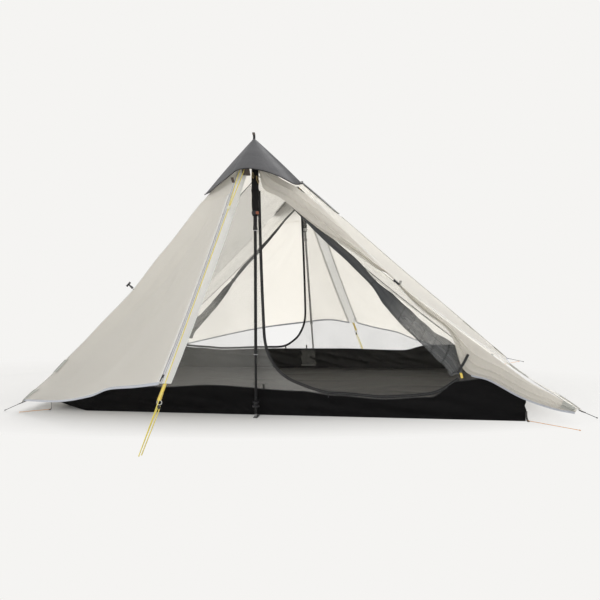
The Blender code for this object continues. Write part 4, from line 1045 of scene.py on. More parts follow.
def hip_seams():
    """The felled seams along the hips and the ridge."""
    for name in CORNERS:
        side = -1 if "back" in name else 1
        outward = 1 if "right" in name else -1
        path = moved(hip_line(name, 0.2, 1.0, 60), Vector((0.0, -side * 0.0005, FLY_CLOTH)))
        tape("hip_seam_" + name, path, Vector((outward * 0.35, side * 0.9, 0.25)), 0.009, SEAM)
        stitches("hip_stitches_" + name,
                 [moved(path, Vector((outward * 0.001, -side * 0.001, 0.0012)))])
    end = Y * (PEAK_Y - 0.05) + Z * (PEAK_HEIGHT + 0.0015)
    ridge = [on_side(end, -1).lerp(end, share) - Z * RIDGE_SAG * arch(0.04 + 0.92 * share)
             for share in shares(0.0, 1.0, 30)]
    tape("ridge_seam", ridge, X, 0.014, SEAM)


def tied_door():
    """The open front door: long pleats above its toggle and a fan of folds below it."""
    stations = 190
    points = 60
    upper, lower = (smooth([(x, 0.0, z) for x, z in line], stations)
                    for line in (TIED_UPPER, TIED_LOWER))
    depths = list(enumerate(TIED_DEPTH))
    rows = []
    for number, (high, low) in enumerate(zip(upper, lower)):
        place = number / (stations - 1)
        depth = value_at(depths, place * (len(depths) - 1))
        gathered = max(0.0, 1 - abs(place - TIED_PINCH) / 0.42)
        outer = []
        inner = []
        for share in shares(0.0, 1.0, points):
            swell = sin(pi * share) ** 0.6
            lean = share * 2.6 + place * 3.2 + ripple(place * 2.0, share * 1.5, 1.0) * 0.8
            fold = (0.55 - abs(sin(pi * lean)) ** 0.6) * 0.022 * (0.25 + 0.75 * gathered ** 0.6)
            fold += ripple(place * 9.0, share * 2.0, 4.0) * 0.003
            spot = high.lerp(low, share) + Y * TIED_INNER_Y
            outer.append(spot - Y * (0.003 + (depth + fold) * swell))
            inner.append(spot)
        rows.append(outer + inner[::-1])
    mesh = bmesh.new()
    add_solid(mesh, rows)
    piece("tied_door", mesh, SHADED_GATHERED, node="fly_door_front_right")
    hem = moved([row[points - 1] for row in rows[stations * 3 // 4:]], Y * -0.002)
    tape("tied_door_hem", hem, Vector((0.0, 0.25, 1.0)), 0.010, BINDING, HEM_THICKNESS)
    start, end = (int(stations * share) for share in TIED_PATCH)
    corner = [moved(row[:TIED_PATCH_WIDE], Vector((0.0, -0.0014, 0.0008)))
              for row in rows[start:end]]
    piece("tied_corner_patch", sheet_mesh(corner, CLOTH), PATCH)
    stitches("tied_corner_stitches", [moved(row, Y * -0.0012) for row in (corner[0], corner[-1])])
    stitches("tied_door_stitches", [moved(hem, Vector((0.0, -0.003, 0.006)))])


def cap(side_name, side):
    """The hood over one peak, with its bound brow and its folded tail of webbing."""
    brow = smooth(CAP_BROW, 61)
    lap_left = brow[0] + Vector(CAP_LAP_LEFT)
    lap_right = brow[-1] + Vector(CAP_LAP_RIGHT)
    top_back = Vector((0.0, -PEAK_Y + CAP_LAP, PEAK_HEIGHT + 2 * FLY_CLEARANCE))
    rim = brow + [lap_right.lerp(top_back, share) for share in shares(0.1, 1.0, 12)]
    rim += [top_back.lerp(lap_left, share) for share in shares(0.1, 0.9, 10)]
    apex = Vector((0.0, -PEAK_Y, CAP_APEX[side_name]))
    rows = []
    for share in shares(0.03, 1.0, 30):
        line = []
        for place, point in enumerate(rim):
            spot = apex.lerp(point, share)
            outward = Vector((spot.x, spot.y + PEAK_Y, 0.0)).normalized()
            fold = ripple(place / len(rim) * 26.0, share * 1.2, 7.0) * 0.0035 * share
            swell = fold * (1.2 - share) + 0.004 * sin(pi * share)
            line.append(on_side(spot + outward * swell, side))
        rows.append(line)
    mesh = bmesh.new()
    rims = []
    for drop in (0.0, CAP_CLOTH):
        verts = add_layer(mesh, [moved(line, Z * -drop) for line in rows], drop > 0, True, rows)
        tip = mesh.verts.new(on_side(apex, side) - Z * drop)
        for first, second in zip(verts[0], verts[0][1:] + verts[0][:1]):
            mesh.faces.new((tip, first, second))
        rims.append(verts[-1])
    join(mesh, *rims, True)
    piece("peak_cap_" + side_name, mesh, CAP, node="fly_cap_" + side_name)
    edge = turned(brow, side)
    tube("brow_binding_" + side_name, edge, BINDING_RADIUS, WEB_BLACK, 8)
    stitches("brow_stitches_" + side_name, [moved(edge, Vector((0.0, -side * 0.001, 0.006)))],
             THREAD_DARK)
    path = smooth([on_side(apex + Vector(place), side) for place in CAP_TAIL[side_name]], 14)
    tape("peak_tail_" + side_name, path[:9], X, 0.011, WEB_BLACK, 0.003)
    tape("peak_tail_end_" + side_name, path[8:], X, 0.012, WEB_BROWN, 0.005)


def head_rows(hip_name, side, offset):
    """The sewn part of a closed door above its opening, hidden under the cap."""
    outward = Vector((0.0, -side * FLY_CLEARANCE, -FLY_CLEARANCE / 2))
    hip = moved(hip_line(hip_name, HEAD_TOP_SHARE, HIP_TOP_SHARE + HEAD_OVERLAP, 24), outward)
    edge = strip_edge(side, offset, HEAD_TOP_SHARE, DOOR_TOP_SHARE + HEAD_OVERLAP, 24)
    return shifted([straight(start, end, 13) for start, end in zip(hip, edge)],
                   lambda down, along, _: 0.003 * down * arch(along) ** 0.5, Y * (-side * FAR))


def strip(side_name, side):
    """The bright band between the doors, its zip coils and the sewn heads of its doors."""
    half = STRIP_WIDTH / 2

    def line(offset, lift=0.0, rise=0.001):
        edge = strip_edge(side, offset, HEAD_TOP_SHARE, 1.0, 90)
        return moved(edge, Vector((0.0, -side * lift, rise)))

    def height(down, along, _):
        return ripple(down * 24.0, along * 1.5, 1.0) * 0.0018 + 0.003 * sin(pi * along)

    edges = [line(offset, rise=0.0) for offset in shares(-half, half, 9)]
    rows = shifted([list(row) for row in zip(*edges)], height, Y * (-side * FAR))
    grip = ["pole_" + side_name + "_grip"]
    cloth("zip_band_" + side_name, rows, STRIP, "fly_strip_" + side_name, thickness=0.002)
    stitches("band_stitches_" + side_name, [line(offset, 0.0052) for offset in STRIP_SEAMS],
             slot="strip_cloth")
    offsets = ZIP_OFFSETS if side > 0 else ZIP_OFFSETS + (half - 0.003,)
    for number, offset in enumerate(offsets):
        coil("zip_coil_" + side_name + "_" + str(number + 1), line(offset, 0.0042), 0.0011,
             COIL_PALE)
    for name in ["front_left"] if side > 0 else ["back_right", "back_left"]:
        offset = half if name == "back_left" else -half
        cloth("door_head_" + name, head_rows(name, side, offset), FLY, None)


# Sleeping tent

def wall_edge(side, x):
    """The height of one side wall's upper edge, with X taken before any half turn."""
    lift = value_at(FRONT_WALL_LIFT, x) if side > 0 else value_at(BACK_WALL_LIFT, -x)
    return TUB_TOP + lift


def corner_lift(x, y):
    """How far the tub's front left corner is pulled off the ground by its cord."""
    along = min(1.0, max(0.0, (LIFT_START - x) / (TUB_LENGTH / 2 + LIFT_START)))
    inward = max(0.0, 1 - (y + TUB_WIDTH / 2) / LIFT_DEPTH)
    return LIFT_HEIGHT * along ** 1.2 * inward ** 1.5


def tub_wall_rows():
    """The grid of the tub's four walls, from their foot to their upper edge, all round."""
    length = TUB_LENGTH / 2 - TUB_WALL / 2
    width = TUB_WIDTH / 2 - TUB_WALL / 2
    fall = wall_edge(1, length) - TUB_TOP
    base = [(x, -width, wall_edge(1, x)) for x in shares(-length, length, 150)[:-1]]
    base += [(length, y, TUB_TOP + fall * max(0.0, 1 - (y + width) * 4))
             for y in shares(-width, width, 60)[:-1]]
    base += [(x, width, wall_edge(-1, -x)) for x in shares(length, -length, 150)[:-1]]
    base += [(-length, y, TUB_TOP) for y in shares(width, -width, 60)[:-1]]
    rows = []
    for share in shares(0.0, 1.0, 14):
        rows.append([])
        for x, y, top in base:
            foot = 0.001 + corner_lift(x, y)
            rows[-1].append(Vector((x, y, foot + (top - foot) * share)))
    return rows


def tub():
    """The waterproof tray: a creased floor and four walls with a bound upper edge."""
    def slack(down, _, point):
        run = (point.x + point.y) * 1.6
        pull = crease(ripple(run, 3.0, point.z * 20.0 + run * 1.7))
        pleat = crease(ripple(run * 4.0 + point.z * 14.0, 8.0, point.z * 9.0), 5.0)
        deep = 1.8 if point.y > 0 else 1.0
        return (pull * 0.008 + pleat * 0.006 - 0.004) * deep * sin(pi * down)

    def folds(down, along, point):
        fold = crease(ripple(point.x * 1.1, point.y * 6.0 + point.x * 0.8, 2.0), 4.0)
        return fold * 0.006 * min(1.0, 3 * arch(along)) * min(1.0, 3 * arch(down))

    rows = shifted(tub_wall_rows(), slack, loop=True)
    walls = piece("tub_walls", sheet_mesh(rows, TUB_CLOTH, True), TUB, node="inner_tub")
    length = TUB_LENGTH / 2 - TUB_WALL
    width = TUB_WIDTH / 2 - TUB_WALL
    flat = [[Vector((x, y, TUB_FLOOR - 0.001 + corner_lift(x, y)))
             for y in shares(-width, width, 90)] for x in shares(-length, length, 180)]
    cloth("tub_floor", shifted(flat, folds, Z * FAR), FLOOR_CLOTH, "inner_tub",
          TUB_CLOTH)
    round_rows = [line + line[:1] for line in rows]
    area_of(round_rows)
    tube("tub_binding", round_rows[-1], BINDING_RADIUS, WEB_BLACK, 8)


def inner_hip(sign_x, sign_y, count):
    """Points along one hip of the sleeping tent, from its peak to the tub's corner."""
    peak = Vector((sign_x * MESH_CLOTH, sign_y * INNER_PEAK_Y, INNER_PEAK_HEIGHT))
    corner = Vector((sign_x * (TUB_LENGTH / 2 - TUB_WALL / 2), sign_y * INNER_PEAK_Y,
                     TUB_TOP + MESH_GAP))
    return straight(peak, corner, count, Z * -INNER_HIP_DROP)


def inner_panels():
    """The two sloping mesh ends of the sleeping tent."""
    for side_name, sign in (("left", -1), ("right", 1)):
        front = inner_hip(sign, -1, 50)
        back = inner_hip(sign, 1, 50)
        ridge = straight(front[0], back[0], 33, Z * -INNER_RIDGE_SAG)
        foot = straight(front[-1], back[-1], 33)
        rows = shifted(patch(ridge, foot, front, back),
                       lambda down, along, _: dome(down, along) * INNER_PANEL_BOW, ORIGIN)
        cloth("mesh_end_" + side_name, rows, MESH, "inner_panel_" + side_name,
              thickness=MESH_CLOTH)
        for line, name in ((front, "front"), (back, "back")):
            tube("mesh_seam_" + name + "_" + side_name, moved(line, Z * 0.001), 0.0016, WEB_BLACK,
                 6)


def inner_zip_points(side, count):
    """Points along one side's arched zip, unturned."""
    knots = [(x, WALL_Y, z) for x, z in INNER_ZIP_ARCH]
    for x in shares(*INNER_ZIP_RUN, 8):
        knots.append((x, WALL_Y, wall_edge(side, x) + INNER_ZIP_RISE))
    return smooth(knots, count)


def offset_line(points, distance):
    """Each point of a line in a wall's plane moved square to it, to its left going down."""
    return [point + Y.cross(heading(points, place)) * distance
            for place, point in enumerate(points)]


def inner_wall(side_name, side):
    """The closed half of one mesh wall, from its hip to the zip."""
    hip = inner_hip(-1, -1, 60)
    for point in hip:
        point.y = WALL_Y
        point.z -= 2 * MESH_GAP
    line = offset_line(inner_zip_points(side, 120), INNER_ZIP_WIDTH / 2 - 0.001)
    upper = [point for point in line if point.z > ZIP_BEND_HEIGHT]
    bend = [point for point in line if point.z <= ZIP_BEND_HEIGHT and point.x < WALL_MESH_END]
    right = spaced(upper, 20) + spaced(bend, 34)
    left = spaced(hip[2:], len(right))
    top = straight(left[0], right[0], 40)
    bottom = []
    for x in shares(left[-1].x, right[-1].x, 40):
        bottom.append(Vector((x, WALL_Y, wall_edge(side, x) - 0.002)))
    left[-1] = bottom[0]
    right[-1] = bottom[-1]
    rows = [turned(row, side) for row in patch(top, bottom, left, right)]
    cloth("mesh_wall_" + side_name, rows, MESH, "inner_wall_" + side_name,
          thickness=MESH_CLOTH)


def inner_zip(side_name, side):
    """The zip of one mesh door: its tape and its coil."""
    points = inner_zip_points(side, 110)
    half = INNER_ZIP_WIDTH / 2
    edges = [offset_line(points, offset) for offset in shares(-half, half, 5)]
    rows = [turned(row, side) for row in zip(*edges)]
    piece("mesh_zip_tape_" + side_name, sheet_mesh(rows, 0.0012), WEB_BLACK,
          node="inner_zip_" + side_name, slot="zip")
    coil("mesh_zip_coil_" + side_name, turned(moved(points, Y * -0.0016), side), 0.0022, COIL)


def rolled_door(side_name, side):
    """The open mesh door, rolled up along its hip and pinched by its tie."""
    count = 120
    sides = 40
    path = smooth([(x, ROLL_Y, z) for x, z, _ in ROLL_PATH], count)
    widths = [(place / (len(ROLL_PATH) - 1), entry[2]) for place, entry in enumerate(ROLL_PATH)]
    rows = []
    for place, point in enumerate(path):
        across = heading(path, place).cross(Y)
        share = place / (count - 1)
        half = value_at(widths, share) * (1.0 if side > 0 else BACK_ROLL_WIDTH)
        depth = min(half, ROLL_HALF_DEPTH)
        line = []
        for step in range(sides):
            turn = 2 * pi * step / sides
            fold = 1 + 0.14 * sin(5 * turn + share * 9.0) + 0.12 * ripple(share * 16.0, turn, 1.0)
            wide = half * cos(turn) * min(fold, 1.15)
            deep = depth * sin(turn) * min(fold, 1.0)
            line.append(on_side(point + across * wide + Y * deep, side))
        rows.append(line)
    mesh = bmesh.new()
    add_solid(mesh, rows)
    piece("rolled_mesh_" + side_name, mesh, ROLL, node="inner_door_" + side_name)
    place = int(count * ROLL_TIE_SHARE)
    across = (path[place + 1] - path[place]).normalized().cross(Y)
    tie = winding(path[place], across * 0.0165, Y * 0.0155, 16)
    tube("roll_tie_" + side_name, turned(tie, side), BINDING_RADIUS, WEB_BLACK, 8)


def strap_and_foot(side_name, side):
    """The strap that hangs a mesh peak, and the tab at the pole's foot."""
    path = straight(Vector((0.012, -0.556, INNER_PEAK_HEIGHT + 0.107)),
                    Vector((0.012, -0.553, INNER_PEAK_HEIGHT + 0.009)), 12)
    tape("peak_strap_" + side_name, turned(path, side), X, 0.010, WEB_TAN, 0.0018,
         node="inner_strap_" + side_name)
    low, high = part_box("pole_foot_" + side_name)
    path = [Vector(((low.x + high.x) / 2, low.y + (high.y - low.y) * share, 0.0028))
            for share in shares(0.03, 0.97, 12)]
    tape("pole_tab_" + side_name, path, X, 0.02, WEB_BLACK, 0.0024, node="pole_foot_" + side_name)


def pocket():
    """The light mesh pocket on the back wall, with its bound mouth."""
    low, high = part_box("tub_pocket")
    rows = []
    for share in shares(0.0, 1.0, 20):
        deep = 0.010 * (0.25 + 0.75 * share)
        rows.append([Vector((low.x + (high.x - low.x) * across,
                             high.y - 0.001 - deep * sin(pi * across),
                             high.z - (high.z - low.z) * share))
                     for across in shares(0.0, 1.0, 24)])
    cloth("mesh_pocket", rows, LIGHT_MESH, "tub_pocket", thickness=MESH_CLOTH)
    tape("pocket_hem", moved(rows[-1], Vector((0.0, -0.001, 0.004))), Z, 0.010, POCKET_HEM)
    tape("pocket_binding", rows[0], Z, 0.008, WEB_BLACK)


# Cords

def cord_piece(name, route, radius, paint):
    """A free cord along a route, in place of a CAD node."""
    path = smooth(route, max(24, int(length_of(route) / CORD_STEP)))
    item = tube(name + "_line", path, radius, paint, 8, node=name)
    length_of(path)


def knot(name, place, along, size, paint):
    """A small overhand knot: a bead wound with three turns of cord."""
    along = Vector(along).normalized()
    square = along.orthogonal().normalized()
    path = winding(place, square * size * 0.42, along.cross(square) * size * 0.42, 48, 3,
                   along * size * 1.4)
    return tube(name, path, size * 0.28, paint, 8)


def corner_cord(prefix, knot_prefix, name, corner, end, gap, knot_size, radius, paint):
    """One straight cord from a corner to its knot on the ground."""
    start = corner + (end - corner).normalized() * gap
    tip = knot(knot_prefix + name, end, end - start, knot_size, paint)
    cord_piece(prefix + name, (start, start.lerp(end, 0.5), end), radius, paint)


def corner_cords():
    """The cords at the corners of the outer tent and the tub, where the photograph shows them."""
    for name, end in FLY_CORD_ENDS.items():
        corner_cord("fly_cord_", "fly_cord_knot_", name, Vector(CORNERS[name]), Vector(end),
                    CORD_START, 0.004, CORNER_CORD_RADIUS, CORD_BLACK)
    for name, end in INNER_CORD_ENDS.items():
        corner = Vector(((1 if end[0] > 0 else -1) * TUB_LENGTH / 2,
                         (1 if end[1] > 0 else -1) * TUB_WIDTH / 2, end[2]))
        corner_cord("inner_cord_", "tub_cord_knot_", name, corner, Vector(end), CORD_START / 2,
                    KNOT_SIZE, CORD_RADIUS, CORD_ORANGE)


def guys(side_name, side):
    """A peak guy line, its loop under the brow, and the doubled cord at the strip's foot."""
    at, low, end = turned((KNOT_AT, GUY_PASS, STAKE), side)
    down = (low - at).normalized()
    tip = knot("guy_end_" + side_name, end, end - low, KNOT_SIZE, CORD_YELLOW)
    cord_piece("guy_line_" + side_name, [at, at.lerp(low, 0.3), at.lerp(low, 0.6), low, end],
               GUY_RADIUS, CORD_YELLOW)
    side_way = down.cross(Y).normalized()
    front_way = down.cross(side_way)
    steps = KNOT_TURNS * 16
    tight, loose = (winding(at, side_way * reach, front_way * reach, steps, KNOT_TURNS,
                            down * KNOT_PITCH * KNOT_TURNS)
                    for reach in (KNOT_COIL, KNOT_COIL + KNOT_PITCH * 0.16))
    turns = tight[:17] + loose[17:-17] + tight[-17:]
    tube("guy_knot_bead_" + side_name, turns, KNOT_WIRE, CORD_PALE, 8,
         body="guy_knot_" + side_name, node="guy_knot_" + side_name)
    meet = at - down * (KNOT_LENGTH / 2 + CORD_RADIUS)
    spread = X * (side * LEG_SPREAD)
    left, right = turned(GUY_LEGS, side)
    top = (left + right) / 2 + Z * LOOP_RISE
    cord_piece("guy_loop_" + side_name, (meet - spread, left, top, right, meet + spread),
               GUY_RADIUS, CORD_YELLOW)
    low = Vector(STAKE) + Y * STRAND_SETBACK
    bend = Vector(RING_AT) - Z * (RING_RADIUS + RING_WIRE + CORD_RADIUS + 2 * TOUCH)
    shift = X * STRAND_SPREAD
    below = bend.lerp(low, LOOP_CLOSING)
    route = turned((low - shift, below - shift, bend, below + shift, low + shift), side)
    tip = knot("foot_guy_end_" + side_name, route[-1], route[-1] - route[-2], KNOT_SIZE,
               CORD_YELLOW)
    cord_piece("foot_guy_" + side_name, route, GUY_RADIUS, CORD_YELLOW)


# Poles

def pole_frame(side):
    """The frame of one pole: its Z runs up the pole from the tip."""
    foot = Vector(POLE_FOOT)
    lean = (Vector(POLE_TOP) - foot).to_track_quat("Z", "Y").to_matrix().to_4x4()
    placed = Matrix.Translation(foot) @ lean
    return Matrix.Rotation(pi, 4, "Z") @ placed if side < 0 else placed


def add_arc(mesh, placed, turns, radii, levels, steps=14, point_at_start=0.0):
    """Add a curved block round a pole, between two turns, two radii and two heights."""
    middle = (levels[0] + levels[1]) / 2
    soft = 0.0009
    rows = []
    for share in shares(0.0, 1.0, steps):
        turn = radians(turns[0] + (turns[1] - turns[0]) * share)
        narrow = 1 - point_at_start * max(0.0, 1 - share * 2.2)
        edge = min(1.0, 0.82 + 3 * min(share, 1 - share))
        inner = radii[0]
        outer = inner + (radii[1] - inner) * edge
        low, high = (middle + (level - middle) * narrow for level in levels)
        outline = ((inner, low), (outer - soft, low), (outer, low + soft), (outer, high - soft),
                   (outer - soft, high), (inner, high))
        rows.append([placed @ Vector((radius * cos(turn), radius * sin(turn), height))
                     for radius, height in outline])
    add_solid(mesh, rows)


def bands(name, placed, radius, levels, wire, paint, body):
    """Round bands about a pole, as one piece."""
    mesh = bmesh.new()
    for level in levels:
        path = [placed @ point for point in winding(Z * level, X * radius, Y * radius, 28)]
        add_tube(mesh, path, [wire] * len(path), 6)
    piece(name, mesh, paint, body)


def pole(side_name, side):
    """One walking pole: its tubes, bands, tip, ribbed grip, clamp and lever."""
    prefix = "pole_" + side_name + "_"
    placed = pole_frame(side)
    metal = TUBE if side > 0 else TUBE_GREY
    for part, paint in (("lower", metal), ("middle", metal), ("upper", metal), ("grip", FOAM),
                        ("basket", PLASTIC)):
        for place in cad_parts[prefix + part].material_slots:
            place.material = paint.material
    for part, foot, radius in COLLAR_FOOTS:
        bands(prefix + part + "_ring", placed, radius - 0.0006, [foot - 0.0011], 0.0014, RING,
              prefix + part)
        bands(prefix + part + "_ribs", placed, radius + 0.0002,
              [foot + rise for rise in COLLAR_RIBS], 0.0007, PLASTIC, prefix + part)
    path = [placed @ (Z * height) for height in shares(0.0004, TIP_END, 8)]
    tube(prefix + "tip", path, shares(*TIP_RADII, 8), STEEL, 18)
    bands(prefix + "grip_rings", placed, GRIP_RING_RADIUS, GRIP_RINGS, 0.0011, FOAM,
          prefix + "grip")
    middle = (CLAMP_LOW + CLAMP_TOP) / 2

    def arc(turns, inner, outer, low, high, *more):
        add_arc(mesh, placed, turns, (CLAMP_OUTER + inner, CLAMP_OUTER + outer),
                (middle + low, middle + high), *more)

    mesh = bmesh.new()
    arc(LEVER_TURNS, 0.0004, 0.0042, -0.009, 0.009, 14, 0.75)
    arc(FORK_TURNS, 0.0004, 0.0034, -0.009, -0.0068)
    arc(FORK_TURNS, 0.0004, 0.0034, 0.0068, 0.009)
    nose = [placed @ Vector((-reach, 0.0022 + reach * 0.12, middle))
            for reach in shares(CLAMP_OUTER + 0.002, CLAMP_OUTER + 0.0095, 6)]
    add_tube(mesh, nose, shares(0.0042, 0.0014, 6), 10, 0.55)
    piece(prefix + "lever_arm", mesh, PLASTIC, prefix + "lever", prefix + "lever")
    mesh = bmesh.new()
    arc(NUT_TURNS, 0.0002, 0.0062, -0.0064, 0.0064)
    arc(CLAMP_TURNS, -0.0004, 0.0006, CLAMP_LOW + 0.004 - middle, CLAMP_TOP - 0.004 - middle, 20)
    piece(prefix + "clamp_nut", mesh, ORANGE if side > 0 else RING, prefix + "grip")


# Small parts

def rounded_block(mesh, centre, size, along, up, round_by):
    """Add a block with rounded edges."""
    along = along.normalized()
    up = (up - along * along.dot(up)).normalized()
    turn = Matrix((along, up.cross(along), up)).transposed().to_4x4()
    placed = Matrix.Translation(centre) @ turn @ Matrix.Diagonal((*size, 1.0))
    made = bmesh.ops.create_cube(mesh, size=1.0, matrix=placed)
    # Each edge once, in an order that is the same at every run
    edges = dict.fromkeys(edge for vert in made["verts"] for edge in vert.link_edges)
    bmesh.ops.bevel(mesh, geom=list(edges), offset=round_by, segments=2, profile=0.5,
                    affect="EDGES")


def middle_of(node):
    """The middle of a CAD node's box."""
    low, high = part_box(node)
    return (low + high) / 2


def slider(node, along, out, fall_way):
    """A zip slider with its bridge and a folded pull, in its CAD node's place."""
    place = middle_of(node)
    along = along.normalized()
    mesh = bmesh.new()
    base = place - out * 0.0006
    rounded_block(mesh, base, (0.009, 0.0088, 0.0038), along, out, 0.0012)
    rounded_block(mesh, base - along * 0.004, (0.009, 0.0066, 0.0034), along, out, 0.0012)
    bridge = [place + along * reach + out * rise for reach, rise in SLIDER_BRIDGE]
    add_tube(mesh, smooth(bridge, 12), [0.0008] * 12, 6)
    piece(node + "_body", mesh, PLASTIC, node, node)
    fall = [place + out * 0.0034, place + out * 0.0062 + fall_way * 0.008,
            place + out * 0.0082 + fall_way * 0.022]
    tape(node + "_pull", smooth(fall, 8), out.cross(fall_way), 0.0045, WEB_BLACK, 0.0014,
         body=node)


def sliders(side_name, side):
    """The sliders of one side's outer and inner zips, and the tabs at the inner zip's foot."""
    out = Y * -side
    run = on_side(strip_point(0.87), side) - on_side(strip_point(0.97), side)
    slider("fly_slider_" + side_name, run, out, -run.normalized())
    slider("inner_slider_" + side_name, X * side, out, -Z)
    for number, (x, z) in enumerate(ZIP_TABS[side_name]):
        top = Vector((x, side * (WALL_Y - 0.004), z + 0.012))
        path = [top + Vector((0.0, -side * 0.0016 * sin(pi * share), -0.026 * share))
                for share in shares(0.0, 1.0, 8)]
        tape("mesh_zip_tab_" + side_name + "_" + str(number + 1), path, X, 0.009, WEB_BLACK,
             0.0018)


def toggles():
    """The tie-back toggles on the front hips, each in its loop of cord."""
    reaches = shares(-1.0, 1.0, 13)
    for name, share in TOGGLE_SHARES.items():
        node = "door_toggle_" + name
        centre = middle_of(node)
        hip = hip_point(name, share)
        mesh = bmesh.new()
        if name == "front_right":
            lie = Vector((0.76, 0.0, -0.65)) * 0.016
            add_tube(mesh, [centre + lie * reach for reach in reaches],
                     [0.0036 + 0.0022 * abs(reach) ** 1.5 for reach in reaches], 14)
        else:
            lean = (centre - hip).normalized()
            bar = lean.cross(Y).normalized() * 0.013
            stem = [centre + lean * reach for reach in shares(-0.016, 0.009, 10)]
            add_tube(mesh, stem, shares(0.0062, 0.0030, 10), 12)
            add_tube(mesh, [centre + lean * 0.011 + bar * reach for reach in reaches],
                     [0.0040 + 0.0012 * abs(reach) for reach in reaches], 12)
        peg = "tie_back_toggle" if name == "front_right" else "tie_toggle_front_left"
        piece(peg, mesh, PLASTIC, node=node)
        anchor = hip + Vector((0.0, -0.006, 0.002))
        lean = Vector((0.004 if "right" in name else -0.004, 0.0, 0.004))
        bow = anchor.lerp(centre, 0.7) + Y * -0.004
        route = [anchor + lean, bow + lean * 0.6, centre + Y * -0.0042, bow - lean * 0.6,
                 anchor - lean]
        tube("toggle_loop_" + name, smooth(route, 22), 0.0012, CORD_BLACK, 6)
    centre = middle_of("door_toggle_front_right")
    knot("tie_back_knot", centre + Vector((0.016, -0.002, 0.0)), (0.35, 0.0, 1.0), 0.0085,
         CORD_GREY)
    ends = [centre + Vector(place) for place in TIE_BACK_END]
    tube("tie_back_end", smooth(ends, 10), 0.0014, CORD_GREY, 6)


def brow_stay(side_name, side):
    """The webbing stiffener under one brow, and the flap beside it."""
    node = "vent_prop_" + side_name
    rise = on_side(PROP_RISE, side).normalized()
    start = on_side(PROP_AT, side) + (Y * (side * 0.73) + Z * 0.68) * 0.002
    tape("brow_stay_" + side_name, straight(start, start + rise * PROP_LENGTH, 8), X, 0.013,
         WEB_BROWN, 0.0018, body=node, node=node)
    tape("brow_flap_" + side_name, turned(smooth(BROW_FLAP, 10), side), X, 0.036, WEB_BROWN,
         0.002)


def band_foot(side_name, side):
    """The yellow webbing below a zip band, folded round its ring, with a cord lock."""
    foot = Vector(STRIP_FOOT)
    centre = Vector(RING_AT)
    wrap = centre + Z * RING_RADIUS
    down = (wrap - foot).normalized()
    out = (down * down.y - Y).normalized()
    lift = RING_WIRE + 0.0012
    route = [foot + down * 0.001 + out * 0.0015, foot.lerp(wrap, 0.5) + out * 0.0022,
             wrap - down * 0.006 + out * lift, wrap + out * lift * 0.8 + down * 0.001,
             wrap + down * lift, wrap - out * lift * 0.8 + down * 0.001,
             wrap - down * 0.006 - out * lift, foot.lerp(wrap, 0.6) - out * 0.0004]
    tape("band_foot_tab_" + side_name, turned(smooth(route, 34), side), X * side, 0.015,
         WEB_YELLOW, 0.0014, node="strip_foot_" + side_name)
    sewn = [[on_side(foot.lerp(wrap, share) + X * offset + out * 0.0034, side)
             for offset in shares(-0.005, 0.005, 4)] for share in (0.12, 0.2, 0.62, 0.7)]
    stitches("band_foot_stitches_" + side_name, sewn, slot="webbing_yellow")
    loop = turned(winding(centre, X * RING_RADIUS, Z * RING_RADIUS, 32), side)
    tube("band_ring_" + side_name, loop, RING_WIRE, RING)
    mesh = bmesh.new()
    lock = on_side(centre + Vector((-0.001, -0.002, -RING_RADIUS - 0.011)), side)
    rounded_block(mesh, lock, (0.013, 0.011, 0.009), Z, Y * -side, 0.0024)
    rounded_block(mesh, lock + Z * 0.008, (0.006, 0.007, 0.006), Z, Y * -side, 0.0016)
    piece("cord_lock_" + side_name, mesh, PLASTIC)


def hip_patch(name, hip_name, span, reaches):
    """A reinforcement over a hip: one half on the end panel and one on a closed door."""
    sign_x = 1 if "right" in hip_name else -1
    side = -1 if "back" in hip_name else 1
    across_name = ("front" if side < 0 else "back") + hip_name[hip_name.index("_"):]
    panel_out = Vector((sign_x * 0.68, 0.0, 0.73)) * PATCH_LIFT
    door_out = Vector((0.0, -side * 0.95, 0.3)) * PATCH_LIFT * 1.6
    both = (panel_out + door_out) * 0.8
    to_panel = []
    to_door = []
    for share, reach in zip(shares(*span, 9), shares(*reaches, 9)):
        ridge = hip_point(hip_name, share)
        panel_way = (hip_point(across_name, share) - ridge).normalized()
        free = on_side(strip_point(DOOR_TOP_SHARE + (share - HIP_TOP_SHARE) * 0.97), side)
        door_way = (free - ridge).normalized()
        to_panel.append([ridge + panel_way * reach * step + panel_out.lerp(both, 1 - step)
                         for step in shares(0.0, 1.0, 6)])
        to_door.append([ridge + door_way * (SEAM_ROOM + (reach - SEAM_ROOM) * step) + door_out
                        for step in shares(0.0, 1.0, 6)])
    halves = [(to_panel, "tent", "_end")]
    if hip_name != "front_right":
        halves.append((to_door, "door_" + hip_name, "_door"))
    for rows, body, ending in halves:
        piece(name + ending, sheet_mesh(rows, CLOTH), PATCH, body)
    outward = Vector((sign_x * 0.0006, -side * 0.0006, 0.0006))
    for rows, body, _ in halves:
        edge = [line[-1].lerp(line[0], 0.12) + outward for line in rows]
        stitches(name + "_stitches_" + body, [edge], body=body)


def corners():
    """Patches on the hips and corners, with the webbing and buckle that take the corner's cord."""
    for name in CORNERS:
        hip_patch("corner_patch_" + name, name, CORNER_PATCH, (0.055, 0.008))
        if name != "back_left":
            hip_patch("hip_patch_" + name, name, MID_PATCH, (0.030, 0.034))
    for name, end in FLY_CORD_ENDS.items():
        corner = Vector(CORNERS[name])
        way = (Vector(end) - corner).normalized()
        flat = way.cross(Z).normalized()
        path = [corner + way * reach for reach in shares(-0.020, 0.009, 8)]
        tape("corner_tab_" + name, path, flat, 0.013, WEB_BLACK, 0.0024)
        mesh = bmesh.new()
        rounded_block(mesh, corner + way * 0.009, (0.011, 0.015, 0.0036), way, way.cross(flat),
                      0.001)
        piece("corner_buckle_" + name, mesh, PLASTIC)


